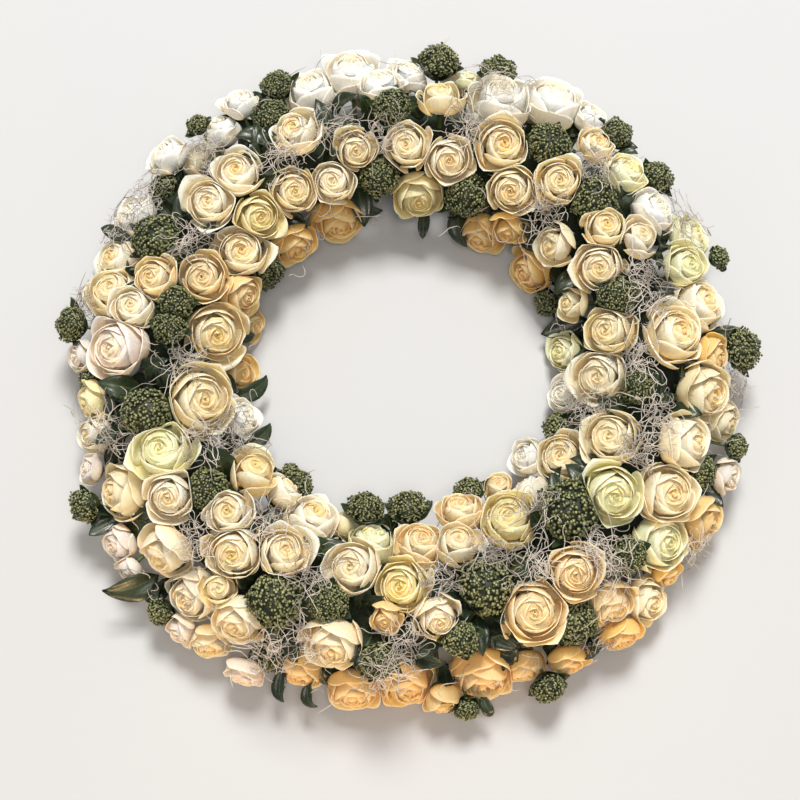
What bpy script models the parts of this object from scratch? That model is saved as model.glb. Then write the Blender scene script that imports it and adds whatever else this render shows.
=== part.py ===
"""A rose wreath laid flat: rose heads, skimmia heads and dark leaves packed round a ring of floral foam."""

import math

import bmesh
import bpy
import numpy as np

# Driving dimensions, in metres
RING_RADIUS = 0.240
FOAM_RADIUS = 0.036
FOAM_LIFT = 0.0024
CORE_HEIGHT = FOAM_LIFT + FOAM_RADIUS * math.cos(math.pi / 10)
TRAY_DEPTH = 0.014
TRAY_WALL = 0.002
FLOWER_REACH = 0.090
STEM_SHELL = 0.0445
STEM_RADIUS = 0.0021
STEM_END = 0.021
TWIG_RADIUS = 0.0015
LEAF_DEPTH = 0.058
LEAF_TIP_REACH = 0.070
LEAF_BALL = 0.010
LEAF_THICKNESS = 0.0016
GAP = 0.0004
WALL_GAP = 0.00099
GROW = 0.0008
BASE_REACH = 0.0405
LEAST_HEIGHT = 0.0012
CALYX_CLEAR = 0.003
FACES_KEPT = 0.64
LEAF_FOLD = 0.25
LEAF_SHARES = (0.18, 0.8, 1.0)
HOLE_SPARE = 0.0006
RING_STEPS = 32

# How the blooms settle: the share of their width at which they press on each other, and their clearances
PRESSED = 0.84
SETTLING_STEPS = 150
PUSH_IN_SIGHT = 0.8
PUSH_ACROSS = 0.5
PULL_HOME = 0.04
LEAF_FLOOR = 0.008
HEAD_FLOOR = 0.004
HEAD_SHARE_OVER_FOAM = 0.92
HEAD_OVER_FOAM = 0.003

# How the blooms are gathered: room beside a stem or twig, the reach of each, and the most in one node, whose
# members may lie this far from their middle
NEIGHBOURS = 0.130
LEAF_NEIGHBOURS = 0.075
WANTED_FOOT_ROOM = 0.0038
FOOT_ROOM = 0.0025
TWIG_ROOM = 0.0025
MOST_ROOM = 0.004
TWIG_REACH = 0.085
HIGH_TWIG_REACH = 0.020
ROSE_SPRAYS = 24
SKIMMIA_SPRIGS = 34
MOST_IN_SPRAY = 14
MOST_IN_SPRIG = 6
WIDEST_SPRIG = 0.070
WIDEST_WITH_LEAF = 0.020
NO_LIMIT = 1.0

# The photograph is looked at from this tilt and distance; one pixel is about a millimetre on the wreath
VIEW_TILT = math.radians(15)
VIEW_DISTANCE = 1.45
PIXEL = 0.001
CENTRE_PIXEL = (406, 370)

# Rose heads: pixel of the head, width in millimetres, pixel of its centre swirl, and how open it is
ROSES = (
    (350, 80, 56, 352, 68, .55), (314, 91, 52, 309, 80, .55), (378, 88, 44, 377, 76, .6),
    (409, 77, 38, 412, 68, .5), (297, 133, 44, 291, 126, .45), (333, 182, 39, 331, 179, .55),
    (293, 191, 43, 296, 191, .6), (356, 150, 38, 357, 154, .5), (338, 218, 50, 340, 234, .5),
    (294, 243, 42, 300, 257, .5), (238, 174, 46, 236, 168, .6), (210, 203, 46, 209, 202, .65),
    (257, 218, 44, 262, 220, .6), (222, 130, 42, 217, 119, .45), (244, 108, 38, 244, 97, .45),
    (242, 254, 52, 240, 247, .75), (203, 278, 46, 201, 277, .6), (240, 290, 42, 252, 298, .5),
    (133, 220, 44, 125, 213, .45), (119, 257, 44, 113, 252, .45), (169, 160, 42, 162, 151, .5),
    (124, 347, 58, 116, 348, .7), (133, 310, 42, 134, 305, .55), (115, 292, 50, 117, 284, .5),
    (155, 281, 42, 149, 278, .5), (83, 356, 32, 75, 358, .4), (214, 333, 56, 213, 338, .75),
    (247, 328, 30, 255, 330, .4), (238, 373, 36, 243, 374, .4), (197, 402, 60, 205, 402, .65),
    (240, 418, 38, 248, 412, .6), (163, 452, 54, 162, 443, .75), (174, 495, 46, 174, 498, .65),
    (125, 492, 52, 110, 490, .45), (95, 430, 36, 88, 430, .35), (95, 403, 38, 83, 408, .4),
    (92, 470, 28, 84, 467, .4), (168, 550, 52, 158, 564, .4), (120, 543, 36, 112, 546, .5),
    (130, 568, 26, 127, 574, .4), (236, 549, 50, 233, 550, .65), (227, 515, 42, 224, 511, .5),
    (252, 475, 46, 255, 463, .4), (283, 553, 46, 289, 546, .5), (316, 522, 52, 322, 509, .5),
    (195, 595, 50, 187, 598, .45), (218, 588, 32, 222, 584, .4), (240, 618, 48, 236, 630, .45),
    (182, 628, 32, 176, 633, .45), (210, 640, 38, 214, 650, .45), (250, 668, 34, 248, 679, .45),
    (336, 642, 52, 331, 655, .45), (303, 673, 40, 300, 684, .5), (355, 688, 46, 355, 699, .5),
    (354, 568, 48, 347, 566, .55), (378, 540, 48, 378, 526, .5), (401, 588, 50, 396, 588, .8),
    (388, 615, 30, 385, 623, .45), (438, 617, 38, 442, 625, .45), (457, 545, 42, 460, 536, .4),
    (420, 545, 42, 424, 536, .5), (463, 510, 40, 464, 500, .5), (510, 520, 52, 509, 515, .65),
    (503, 490, 32, 505, 482, .5), (412, 683, 52, 415, 692, .5), (443, 697, 38, 446, 711, .3),
    (487, 668, 58, 487, 682, .6), (521, 670, 40, 523, 682, .5), (532, 610, 54, 532, 607, .65),
    (566, 658, 36, 567, 669, .5), (575, 572, 46, 573, 574, .7), (610, 603, 44, 615, 613, .5),
    (645, 600, 42, 653, 600, .5), (622, 632, 38, 625, 643, .5), (665, 493, 54, 669, 490, .65),
    (658, 540, 54, 666, 538, .6), (701, 515, 46, 712, 521, .4), (665, 573, 32, 672, 581, .5),
    (725, 475, 34, 734, 476, .4), (612, 438, 50, 606, 434, .75), (609, 494, 52, 611, 500, .7),
    (563, 458, 50, 563, 455, .6), (528, 458, 34, 521, 456, .5), (697, 393, 56, 709, 402, .65),
    (682, 440, 56, 699, 438, .55), (722, 420, 38, 731, 425, .5), (710, 358, 38, 721, 362, .45),
    (601, 377, 52, 597, 377, .8), (610, 330, 48, 603, 327, .65), (565, 352, 36, 558, 350, .6),
    (566, 395, 34, 560, 392, .6), (573, 304, 32, 561, 301, .4), (672, 336, 56, 682, 328, .6),
    (697, 303, 52, 706, 295, .65), (685, 268, 42, 689, 265, .5), (687, 238, 44, 698, 233, .5),
    (600, 268, 46, 599, 270, .65), (605, 226, 40, 607, 221, .55), (636, 238, 38, 643, 232, .35),
    (652, 212, 44, 663, 204, .5), (557, 246, 40, 543, 246, .4), (533, 272, 46, 520, 276, .5),
    (512, 190, 44, 510, 193, .65), (502, 145, 50, 505, 145, .55), (562, 183, 46, 560, 182, .7),
    (509, 228, 34, 508, 239, .4), (482, 232, 44, 478, 246, .5), (498, 106, 60, 499, 92, .55),
    (552, 107, 60, 553, 93, .55), (590, 120, 38, 596, 112, .5), (596, 146, 34, 598, 141, .5),
    (624, 174, 40, 629, 166, .45), (449, 160, 44, 450, 163, .6), (407, 146, 44, 404, 144, .6),
    (418, 195, 46, 420, 207, .45), (440, 100, 42, 438, 82, .35), (468, 82, 26, 468, 73, .3),
)
SKIMMIAS = (
    (281, 88, 34), (270, 117, 36), (391, 106, 36), (379, 176, 38), (166, 185, 30), (201, 127, 22),
    (158, 240, 46), (267, 272, 32), (175, 303, 32), (170, 328, 30), (73, 325, 34), (93, 382, 28),
    (147, 413, 46), (86, 505, 32), (208, 494, 38), (289, 488, 40), (366, 518, 36), (408, 514, 38),
    (467, 497, 30), (276, 599, 50), (329, 603, 34), (378, 658, 34), (265, 658, 34), (163, 612, 28),
    (485, 588, 50), (460, 638, 32), (466, 702, 26), (570, 513, 54), (627, 556, 34), (575, 621, 42),
    (544, 682, 32), (700, 472, 32), (735, 447, 24), (557, 428, 28), (638, 387, 30), (738, 348, 40),
    (617, 298, 36), (548, 302, 28), (718, 258, 22), (657, 178, 32), (613, 134, 34), (549, 145, 42),
    (592, 200, 44), (467, 195, 42), (438, 64, 42), (498, 75, 36),
)
LEAVES = (
    (247, 132, 231, 122, 20), (262, 155, 242, 160, 16), (186, 184, 182, 166, 12), (165, 207, 160, 192, 16),
    (259, 105, 254, 95, 10), (368, 110, 361, 99, 12), (360, 197, 362, 212, 20), (328, 157, 340, 152, 12),
    (424, 220, 423, 236, 10), (458, 222, 466, 240, 18), (570, 325, 551, 331, 20), (575, 277, 562, 288, 18),
    (722, 337, 737, 333, 16), (622, 410, 606, 404, 18), (684, 409, 700, 415, 14), (702, 494, 716, 503, 16),
    (550, 644, 546, 658, 13), (463, 608, 462, 624, 14), (545, 525, 535, 518, 16), (514, 564, 526, 574, 18),
    (370, 605, 382, 598, 14), (249, 577, 238, 569, 18), (140, 584, 114, 587, 24), (152, 532, 128, 522, 24),
    (108, 526, 98, 530, 12), (225, 472, 212, 456, 24), (118, 432, 106, 440, 16), (128, 388, 110, 385, 20),
    (147, 371, 170, 360, 16), (156, 381, 157, 365, 10), (136, 270, 131, 266, 12), (180, 260, 160, 256, 14),
    (250, 393, 258, 382, 16), (243, 333, 250, 333, 10), (256, 441, 262, 432, 14), (280, 682, 284, 696, 12),
    (306, 690, 313, 699, 10), (481, 699, 491, 708, 6), (372, 638, 360, 655, 22), (122, 237, 111, 232, 12),
    (622, 156, 633, 156, 10),
)

# Roses on the sides that the photograph doesn't show: angle round the ring, angle round the tube, width
HIDDEN_ROSES = (
    (44, 4, 44), (63, -2, 48), (80, 6, 42), (97, -2, 46), (115, 5, 44), (134, 0, 46),
    (226, 172, 40), (247, 178, 42), (268, 170, 40), (290, 178, 42), (312, 172, 40),
)

# Rings of a rose from calyx to heart, in head radii: points, radii and heights of odd and even points, turn
ROSE_RINGS = (
    (5, 0.32, 0.32, -0.66, -0.66, 0.0),
    (5, 1.02, 1.02, -0.14, -0.14, 0.5),
    (10, 1.12, 1.00, 0.34, 0.15, 0.5),
    (5, 0.74, 0.74, 0.22, 0.22, 0.0),
    (5, 0.62, 0.62, 0.56, 0.56, 0.5),
    (5, 0.40, 0.40, 0.38, 0.38, 0.0),
    (5, 0.29, 0.29, 0.70, 0.70, 0.5),
)
ROSE_PIT = 0.44
BUD_RINGS = (
    (5, 0.32, 0.32, -0.66, -0.66, 0.0),
    (5, 1.00, 1.00, -0.14, -0.14, 0.5),
    (10, 0.92, 0.80, 0.42, 0.26, 0.5),
    (5, 0.52, 0.52, 0.34, 0.34, 0.0),
    (5, 0.36, 0.36, 0.80, 0.80, 0.5),
)
BUD_PIT = 0.52
BUD_WIDTH = 0.034

# Rings of a skimmia head, whose raised points are its florets
SKIMMIA_RINGS = (
    (5, 0.45, 0.45, -0.50, -0.50, 0.0),
    (10, 1.08, 0.90, 0.00, -0.10, 0.0),
    (10, 0.88, 0.64, 0.56, 0.44, 0.5),
    (5, 0.42, 0.42, 0.86, 0.86, 0.0),
)
SKIMMIA_TOP = 0.84

RIGHT = np.array([1.0, 0.0, 0.0])
UP = np.array([0.0, math.cos(VIEW_TILT), math.sin(VIEW_TILT)])
BACK = np.array([0.0, -math.sin(VIEW_TILT), math.cos(VIEW_TILT)])
HUB = np.array([0.0, 0.0, CORE_HEIGHT])
UPRIGHT = np.array([0.0, 0.0, 1.0])
SLANT = np.array([0.31, 0.17, 0.93])


def unit(vectors):
    """The vectors at length one."""
    return vectors / np.linalg.norm(vectors, axis=-1, keepdims=True)


def round_core(points):
    """The nearest points of the core circle, the directions away from it, and the distances."""
    flat = unit(points * (1.0, 1.0, 0.0))
    core = flat * RING_RADIUS + HUB
    away = points - core
    far = np.linalg.norm(away, axis=-1, keepdims=True)
    return core, away / far, far[..., 0]


def around_core(turn, climb, far):
    """Points at an angle round the ring, an angle round the tube, and a distance from the core circle."""
    turn, climb = np.asarray(turn), np.asarray(climb)
    flat = np.stack([np.cos(turn), np.sin(turn), 0 * turn], axis=-1)
    away = flat * np.cos(climb)[..., None] + UPRIGHT * np.sin(climb)[..., None]
    return flat * RING_RADIUS + HUB + away * far


def seen_at(x, y, reach):
    """Where the line of sight through a pixel first meets the flower mass, this far from the core circle."""
    camera = HUB + BACK * VIEW_DISTANCE
    sight = RIGHT * (x - CENTRE_PIXEL[0]) * PIXEL + UP * (CENTRE_PIXEL[1] - y) * PIXEL - BACK * VIEW_DISTANCE
    line = camera + sight * np.linspace(0.88, 1.03, 400)[:, None]
    far = round_core(line)[2]
    inside = far <= reach
    return line[np.argmax(inside) if inside.any() else np.argmin(far)]


def settled(home, radius, leafy):
    """Pushes the heads apart until they only just press on each other, clear of the foam and the floor."""
    place = home.copy()
    wanted = PRESSED * (radius[:, None] + radius[None])
    lowest = np.where(leafy, LEAF_FLOOR, radius + HEAD_FLOOR)
    nearest = FOAM_RADIUS + np.where(leafy, LEAF_BALL, HEAD_SHARE_OVER_FOAM * radius + HEAD_OVER_FOAM)
    for _ in range(SETTLING_STEPS):
        gap = place[:, None] - place[None]
        far = np.linalg.norm(gap, axis=2) + np.eye(len(place))
        push = np.clip(wanted - far, 0, None) * 0.5 / far * (1 - np.eye(len(place)))
        move = (gap * push[..., None]).sum(axis=1)
        along = (move @ BACK)[:, None] * BACK
        place = place + PUSH_IN_SIGHT * along + PUSH_ACROSS * (move - along) + PULL_HOME * (home - place)
        core, away, far = round_core(place)
        place = np.where((far < nearest)[:, None], core + away * nearest[:, None], place)
        place[:, 2] = np.maximum(place[:, 2], lowest)
    return place


class Bloom:
    """One head or leaf: its place, facing, foot on the stem shell, and the flat walls of its own space."""

    def __init__(self, kind, row, place, radius):
        self.kind = kind
        self.row = row
        self.place = place
        self.radius = radius
        core, self.out, far = round_core(place)
        self.facing = self.out
        if kind == "rose" and len(row) > 3:
            self.facing = rose_facing(row, self.out)
        if kind == "skimmia":
            self.facing = unit(0.7 * self.out + 0.3 * BACK)


def rose_facing(row, out):
    """The way a rose looks, from where its centre swirl lies in the photograph, leaning towards its root."""
    x, y, width, swirl_x, swirl_y = row[:5]
    tilt = np.array([swirl_x - x, y - swirl_y]) / (0.375 * width)
    tilt *= min(1.0, 0.85 / max(1e-6, np.linalg.norm(tilt)))
    look = RIGHT * tilt[0] + UP * tilt[1] + BACK * math.sqrt(1 - tilt @ tilt)
    facing = unit(0.7 * look + 0.3 * out)
    while facing @ out < 0.55:
        facing = unit(facing + 0.2 * out)
    return facing


def make_blooms():
    """Every rose head, skimmia head and leaf at its settled place."""
    kinds, rows, radius, home = [], [], [], []
    for kind, table in (("rose", ROSES), ("rose", HIDDEN_ROSES), ("skimmia", SKIMMIAS), ("leaf", LEAVES)):
        for row in table:
            half = LEAF_BALL if kind == "leaf" else row[2] / 2000
            reach = {"rose": FLOWER_REACH - max(half, 0.020),
                     "skimmia": FLOWER_REACH - 0.004 - max(half, 0.016),
                     "leaf": LEAF_DEPTH}[kind]
            kinds.append(kind)
            rows.append(row)
            radius.append(half)
            if table is HIDDEN_ROSES:
                turn, climb = np.radians(row[:2])
                home.append(around_core(turn, climb, reach))
            else:
                home.append(seen_at(row[0], row[1], reach))
    radius = np.array(radius)
    place = settled(np.array(home), radius, np.array(kinds) == "leaf")
    blooms = [Bloom(*each) for each in zip(kinds, rows, place, radius)]
    for k, bloom in enumerate(blooms):
        gap = place - place[k]
        far = np.linalg.norm(gap, axis=1)
        bloom.near = np.flatnonzero((far > 0) & (far < NEIGHBOURS))
        bloom.normals = gap[bloom.near] / far[bloom.near, None]
        squares = far[bloom.near] ** 2 + radius[k] ** 2 - radius[bloom.near] ** 2
        bloom.walls = squares / (2 * far[bloom.near])
        bloom.number = k
    return blooms


def room(bloom, points, ignore=()):
    """How far the points lie inside a bloom's own space."""
    spare = bloom.walls - (points - bloom.place) @ bloom.normals.T
    spare[..., np.isin(bloom.near, ignore)] = 1.0
    return spare.min(axis=-1)


def kept_in(bloom, points):
    """Draws points in to the bloom's own space, half the gap between heads inside its walls."""
    away = points - bloom.place
    over = (away @ bloom.normals.T / (bloom.walls - WALL_GAP / 2)).max(axis=1)
    return bloom.place + away / np.maximum(over, 1.0)[:, None]


def shell_grid(point, turn_reach, climb_reach, steps):
    """Points of the stem shell round a place."""
    turn = math.atan2(point[1], point[0])
    climb = math.atan2(point[2] - CORE_HEIGHT, math.hypot(point[0], point[1]) - RING_RADIUS)
    steps_round = turn + np.linspace(-turn_reach, turn_reach, steps)
    steps_over = climb + np.linspace(-climb_reach, climb_reach, steps)
    turns, climbs = np.meshgrid(steps_round, steps_over)
    points = around_core(turns.ravel(), climbs.ravel(), STEM_SHELL)
    return points[points[:, 2] > CORE_HEIGHT - 0.55 * STEM_SHELL]


def set_foot(bloom):
    """The foot of a bloom's stem: the nearest point of the shell that is well inside its own space."""
    points = shell_grid(bloom.place, 0.10, 0.8, 17)
    core, away, far = round_core(bloom.place)
    straight = core + away * STEM_SHELL
    spare = room(bloom, points)
    cost = np.linalg.norm(points - straight, axis=1) + 8 * np.clip(WANTED_FOOT_ROOM - spare, 0, None)
    best = np.argmin(cost)
    bloom.foot = points[best]
    bloom.rooted = spare[best] > FOOT_ROOM
    bloom.knot = bloom.foot if bloom.rooted else bloom.place - 0.45 * bloom.radius * bloom.facing


def shared_wall(first, second):
    """The flat wall between two blooms: its number among the first one's walls, and its normal."""
    wall = np.flatnonzero(first.near == second.number)[0]
    return wall, first.normals[wall]


def best_crossing(first, second, points, cost):
    """The candidate with the most room on both sides of the wall, up to a limit, and the least cost."""
    spare = np.minimum(room(first, points, [second.number]), room(second, points, [first.number]))
    spare = np.where(points[:, 2] > HEAD_FLOOR, spare, -1.0)
    best = np.argmax(np.minimum(spare, MOST_ROOM) - cost)
    return points[best], spare[best]


def low_crossing(first, second):
    """Where a twig along the stem shell crosses from one bloom's space to the other's."""
    middle = (first.foot + second.foot) / 2
    points = shell_grid(middle, 0.08, 0.6, 13)
    wall, normal = shared_wall(first, second)
    points = points + (first.walls[wall] - (points - first.place) @ normal)[:, None] * normal
    points = points[round_core(points)[2] > STEM_SHELL - 2 * GAP]
    if not len(points):
        return middle, -1.0
    return best_crossing(first, second, points, 0.1 * np.linalg.norm(points - middle, axis=1))


def high_crossing(first, second):
    """Where a twig between two heads crosses the wall between them, as low as there is room."""
    wall, normal = shared_wall(first, second)
    across = unit(np.cross(normal, SLANT))
    steps = np.linspace(-HIGH_TWIG_REACH, HIGH_TWIG_REACH, 11)
    sides, rises = np.meshgrid(steps, steps)
    points = first.place + normal * first.walls[wall]
    points = points + sides.ravel()[:, None] * across + rises.ravel()[:, None] * np.cross(normal, across)
    far = round_core(points)[2]
    points, far = points[far > STEM_SHELL], far[far > STEM_SHELL]
    if not len(points):
        return first.place, -1.0
    return best_crossing(first, second, points, 0.08 * far)


def find_ties(blooms):
    """The pairs of neighbours that a twig can join inside their own spaces, and where it crosses over."""
    ties = {}
    for first in blooms:
        for k in first.near:
            second = blooms[k]
            if k < first.number or np.linalg.norm(first.place - second.place) > TWIG_REACH:
                continue
            point, spare = first.place, -1.0
            if first.rooted and second.rooted:
                point, spare = low_crossing(first, second)
            if spare < TWIG_ROOM:
                point, spare = high_crossing(first, second)
            if spare > TWIG_ROOM:
                ties[first.number, second.number] = point
    return ties


def families(blooms, ties):
    """Sorts the blooms into sprays of roses and sprigs of skimmia, each held together by its own twigs."""
    family = {bloom.number: bloom.number for bloom in blooms}

    def members(name):
        return [k for k in family if family[k] == name]

    def join(a, b):
        for k in members(b):
            family[k] = a

    def sort_of(name):
        kinds = {blooms[k].kind for k in members(name)}
        return "rose" if "rose" in kinds else "skimmia" if "skimmia" in kinds else "leaf"

    def tied():
        return {tuple(sorted((family[a], family[b]))) for a, b in ties if family[a] != family[b]}

    def spread(groups):
        points = np.array([blooms[k].place for name in groups for k in members(name)])
        return np.linalg.norm(points - points.mean(axis=0), axis=1).max()

    def rooted(name):
        return any(blooms[k].rooted and blooms[k].kind != "leaf" for k in members(name))

    def give(name, wanted, most, widest):
        hosts = [a + b - name for a, b in tied() if name in (a, b) and sort_of(a + b - name) == wanted]
        hosts = [host for host in hosts if len(members(host)) + len(members(name)) <= most]
        hosts = [host for host in hosts if spread((name, host)) < widest]
        if hosts:
            join(min(hosts, key=lambda host: (not rooted(host), spread((name, host)))), name)

    def merge(kind, most):
        pairs = [p for p in tied() if sort_of(p[0]) == sort_of(p[1]) == kind]
        pairs = [p for p in pairs if len(members(p[0])) + len(members(p[1])) <= most]
        if pairs:
            join(*min(pairs, key=lambda p: (spread(p), p)))
        return bool(pairs)

    def names(kind):
        return [name for name in sorted(set(family.values())) if sort_of(name) == kind]

    for wanted in ("skimmia", "rose"):
        for leaf in names("leaf"):
            if wanted == "skimmia":
                give(leaf, wanted, MOST_IN_SPRIG, WIDEST_WITH_LEAF)
            else:
                give(leaf, wanted, len(blooms), NO_LIMIT)
    for wanted in ("skimmia", "rose"):
        for name in names("skimmia"):
            if not rooted(name):
                if wanted == "skimmia":
                    give(name, wanted, MOST_IN_SPRIG, WIDEST_SPRIG)
                else:
                    give(name, wanted, len(blooms), NO_LIMIT)
    while len(names("skimmia")) > SKIMMIA_SPRIGS and merge("skimmia", MOST_IN_SPRIG):
        pass
    for name in names("rose"):
        if not rooted(name):
            give(name, "rose", MOST_IN_SPRAY, NO_LIMIT)
    while len(names("rose")) > ROSE_SPRAYS and merge("rose", MOST_IN_SPRAY):
        pass
    return family, sort_of


def chosen_tree(members, ties, blooms):
    """The shortest set of ties that holds the members of one family together."""
    held, tree = {members[0]}, []
    while len(held) < len(members):
        inner_ties = [pair for pair in ties if set(pair) <= set(members)]
        open_ties = [pair for pair in inner_ties if (pair[0] in held) != (pair[1] in held)]
        a, b = min(open_ties, key=lambda pair: np.linalg.norm(blooms[pair[0]].knot - blooms[pair[1]].knot))
        tree.append((a, b))
        held |= {a, b}
    return tree


def loft(name, rings, start=None, end=None):
    """A closed body through rings of points with their turns, each end drawn to a point or capped flat."""
    bm = bmesh.new()
    loops = [[bm.verts.new(point) for point in points] for points, _ in rings]
    for (low, (_, low_turn)), (high, (_, high_turn)) in zip(zip(loops, rings), list(zip(loops, rings))[1:]):
        i, j = 0, round(low_turn / len(low) * len(high) - high_turn)
        last_i, last_j = len(low), j + len(high)
        while i < last_i or j < last_j:
            next_low = (i + 1 + low_turn) / len(low)
            next_high = (j + 1 + high_turn) / len(high)
            corner = low[i % len(low)], high[j % len(high)]
            if j == last_j or (i < last_i and next_low < next_high):
                i += 1
                bm.faces.new((corner[0], low[i % len(low)], corner[1]))
            else:
                j += 1
                bm.faces.new((corner[0], high[j % len(high)], corner[1]))
    for loop, point in ((loops[0], start), (loops[-1], end)):
        if point is None:
            bm.faces.new(loop)
            continue
        tip = bm.verts.new(point)
        for k, vert in enumerate(loop):
            bm.faces.new((vert, loop[(k + 1) % len(loop)], tip))
    bmesh.ops.recalc_face_normals(bm, faces=bm.faces)
    mesh = bpy.data.meshes.new(name)
    bm.to_mesh(mesh)
    bm.free()
    return bpy.data.objects.new(name, mesh)


def fattened(piece):
    """A cutter made from a piece, a little larger all over so that what it cuts stays clear of the piece."""
    mesh = piece.data
    moved = [vert.co + vert.normal * GROW for vert in mesh.vertices]
    for vert, place in zip(mesh.vertices, moved):
        vert.co = place
    return piece


def sides_of(direction, guide):
    """Two directions across a third, the first one along the guide as far as it can be."""
    across = unit(guide - (guide @ direction) * direction)
    return across, np.cross(direction, across)


def clear_of_base(points):
    """Points kept off the foam ring and its tray, and just above the surface that the wreath lies on."""
    core, away, far = round_core(points)
    points = core + away * np.maximum(far, BASE_REACH)[:, None]
    points[:, 2] = np.maximum(points[:, 2], LEAST_HEIGHT)
    return points


def head(bloom, is_root):
    """A rose or skimmia head on its short stem, which a root head sends on into the foam."""
    table, top = SKIMMIA_RINGS, SKIMMIA_TOP
    if bloom.kind == "rose":
        is_bud = 2 * bloom.radius < BUD_WIDTH
        table, top = (BUD_RINGS, BUD_PIT) if is_bud else (ROSE_RINGS, ROSE_PIT)
    guide = unit(np.cross(bloom.facing, SLANT))
    below = bloom.foot if bloom.rooted else bloom.place - bloom.radius * bloom.facing
    stalk = unit(bloom.place - below)
    depth = np.linalg.norm(bloom.place - below) - CALYX_CLEAR
    shorter = min(1.0, depth / (-table[0][3] * bloom.radius))
    rings = []
    for count, odd_radius, even_radius, odd_height, even_height, turn in table:
        points = []
        for k in range(count):
            radius, height = (even_radius, even_height) if k % 2 else (odd_radius, odd_height)
            bend = min(1.0, max(0.0, -height / 0.6))
            axis = unit((1 - bend) * bloom.facing + bend * stalk)
            across, up = sides_of(axis, guide)
            angle = math.tau * ((k + turn) / count + 0.37 * bloom.number)
            spoke = across * math.cos(angle) + up * math.sin(angle)
            height *= shorter if height < 0 else 1.0
            points.append(bloom.place + bloom.radius * (axis * height + spoke * radius))
        points = kept_in(bloom, clear_of_base(np.array(points)))
        rings.append((points, turn))
    core, away, _ = round_core(bloom.foot)
    start = rings[0][0].mean(axis=0) - stalk * CALYX_CLEAR
    if bloom.rooted:
        start = bloom.foot - away * CALYX_CLEAR / 2
    if is_root:
        across, up = sides_of(away, guide)
        angles = math.tau * (np.arange(5) / 5 + 0.37 * bloom.number)
        spokes = across * np.cos(angles)[:, None] + up * np.sin(angles)[:, None]
        rings.insert(0, (bloom.foot + spokes * STEM_RADIUS, 0.0))
        start = core + away * STEM_END
    end = kept_in(bloom, (bloom.place + bloom.facing * bloom.radius * top)[None])[0]
    return loft(bloom.kind, rings, start, end)


def pushed_out(point, bloom, blooms, spare):
    """A point of a leaf's rib moved out of the heads round it."""
    for _ in range(4):
        for k in bloom.near:
            other = blooms[k]
            away = point - other.place
            far = np.linalg.norm(away)
            if other.kind != "leaf" and far < other.radius + spare:
                point = other.place + away / far * (other.radius + spare)
    return point


def leaf(bloom, blooms):
    """A thick blade folded along its rib, from its knot up through the gap between the heads to its tip."""
    tip = seen_at(bloom.row[2], bloom.row[3], LEAF_TIP_REACH)
    least = 0.8 * bloom.row[4] / 1000
    reach = tip - bloom.place
    tip = bloom.place + reach * max(1.0, least / np.linalg.norm(reach))
    shoulder = bloom.place + 0.45 * (tip - bloom.place) + bloom.out * 0.003
    ribs = [bloom.knot, bloom.place, pushed_out(shoulder, bloom, blooms, 0.002)]
    tip = pushed_out(tip, bloom, blooms, 0.001)
    side = unit(np.cross(tip - bloom.place, bloom.out))
    normal = unit(np.cross(side, tip - bloom.place))
    rings = []
    for rib, share in zip(ribs, LEAF_SHARES):
        half = share * bloom.row[4] / 2000
        fold = LEAF_FOLD * half
        points = np.array([
            rib - side * half,
            rib - normal * (fold + LEAF_THICKNESS / 2),
            rib + side * half,
            rib - normal * (fold - LEAF_THICKNESS / 2),
        ])
        points = clear_of_base(points)
        if rib is not ribs[2]:
            points = kept_in(bloom, points)
        rings.append((points, 0.0))
    return loft("leaf", rings, None, clear_of_base(tip[None])[0])


def twig(first, second, crossing):
    """A three-sided twig from knot to knot by way of its crossing point."""
    points = np.array([first.knot, crossing, second.knot])
    path = unit(np.array([points[1] - points[0], points[2] - points[0], points[2] - points[1]]))
    guide = unit(np.cross(path[1], SLANT))
    angles = math.tau * np.arange(3) / 3
    rings = []
    for point, direction in zip(points, path):
        across, up = sides_of(direction, guide)
        spokes = across * np.cos(angles)[:, None] + up * np.sin(angles)[:, None]
        rings.append((point + spokes * TWIG_RADIUS, 0.0))
    return loft("twig", rings)


def finish(name, colour, roughness):
    """A plain Principled material."""
    material = bpy.data.materials.new(name)
    material.use_nodes = True
    shader = material.node_tree.nodes["Principled BSDF"]
    shader.inputs["Base Color"].default_value = (*colour, 1.0)
    shader.inputs["Roughness"].default_value = roughness
    shader.inputs["Metallic"].default_value = 0.0
    return material


def new_collection(name):
    """A collection of its own in the scene."""
    collection = bpy.data.collections.new(name)
    bpy.context.scene.collection.children.link(collection)
    return collection


def combined(target, pieces, operation):
    """The target's mesh after one Boolean with all the pieces, which are then removed with it.

    The exact solver leaves a loose scrap in one of the sprays, so these joints use the manifold one.
    """
    if not pieces:
        mesh = target.data.copy()
        bpy.data.objects.remove(target)
        return mesh
    group = new_collection("joining")
    for piece in pieces:
        group.objects.link(piece)
    bpy.context.scene.collection.objects.link(target)
    boolean = target.modifiers.new("join", "BOOLEAN")
    boolean.operation = operation
    boolean.operand_type = "COLLECTION"
    boolean.collection = group
    boolean.solver = "MANIFOLD"
    depsgraph = bpy.context.evaluated_depsgraph_get()
    mesh = bpy.data.meshes.new_from_object(target.evaluated_get(depsgraph))
    for piece in [*pieces, target]:
        bpy.data.objects.remove(piece)
    bpy.data.collections.remove(group)
    return mesh


def keep_body_at(mesh, point):
    """Drops the scraps that a cut leaves: only the body nearest a point stays."""
    bm = bmesh.new()
    bm.from_mesh(mesh)
    first = min(bm.verts, key=lambda vert: np.linalg.norm(np.array(vert.co) - point))
    kept, edge_of_kept = {first}, [first]
    while edge_of_kept:
        for edge in edge_of_kept.pop().link_edges:
            for vert in edge.verts:
                if vert not in kept:
                    kept.add(vert)
                    edge_of_kept.append(vert)
    bmesh.ops.delete(bm, geom=[vert for vert in bm.verts if vert not in kept], context="VERTS")
    bm.to_mesh(mesh)
    bm.free()


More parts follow.
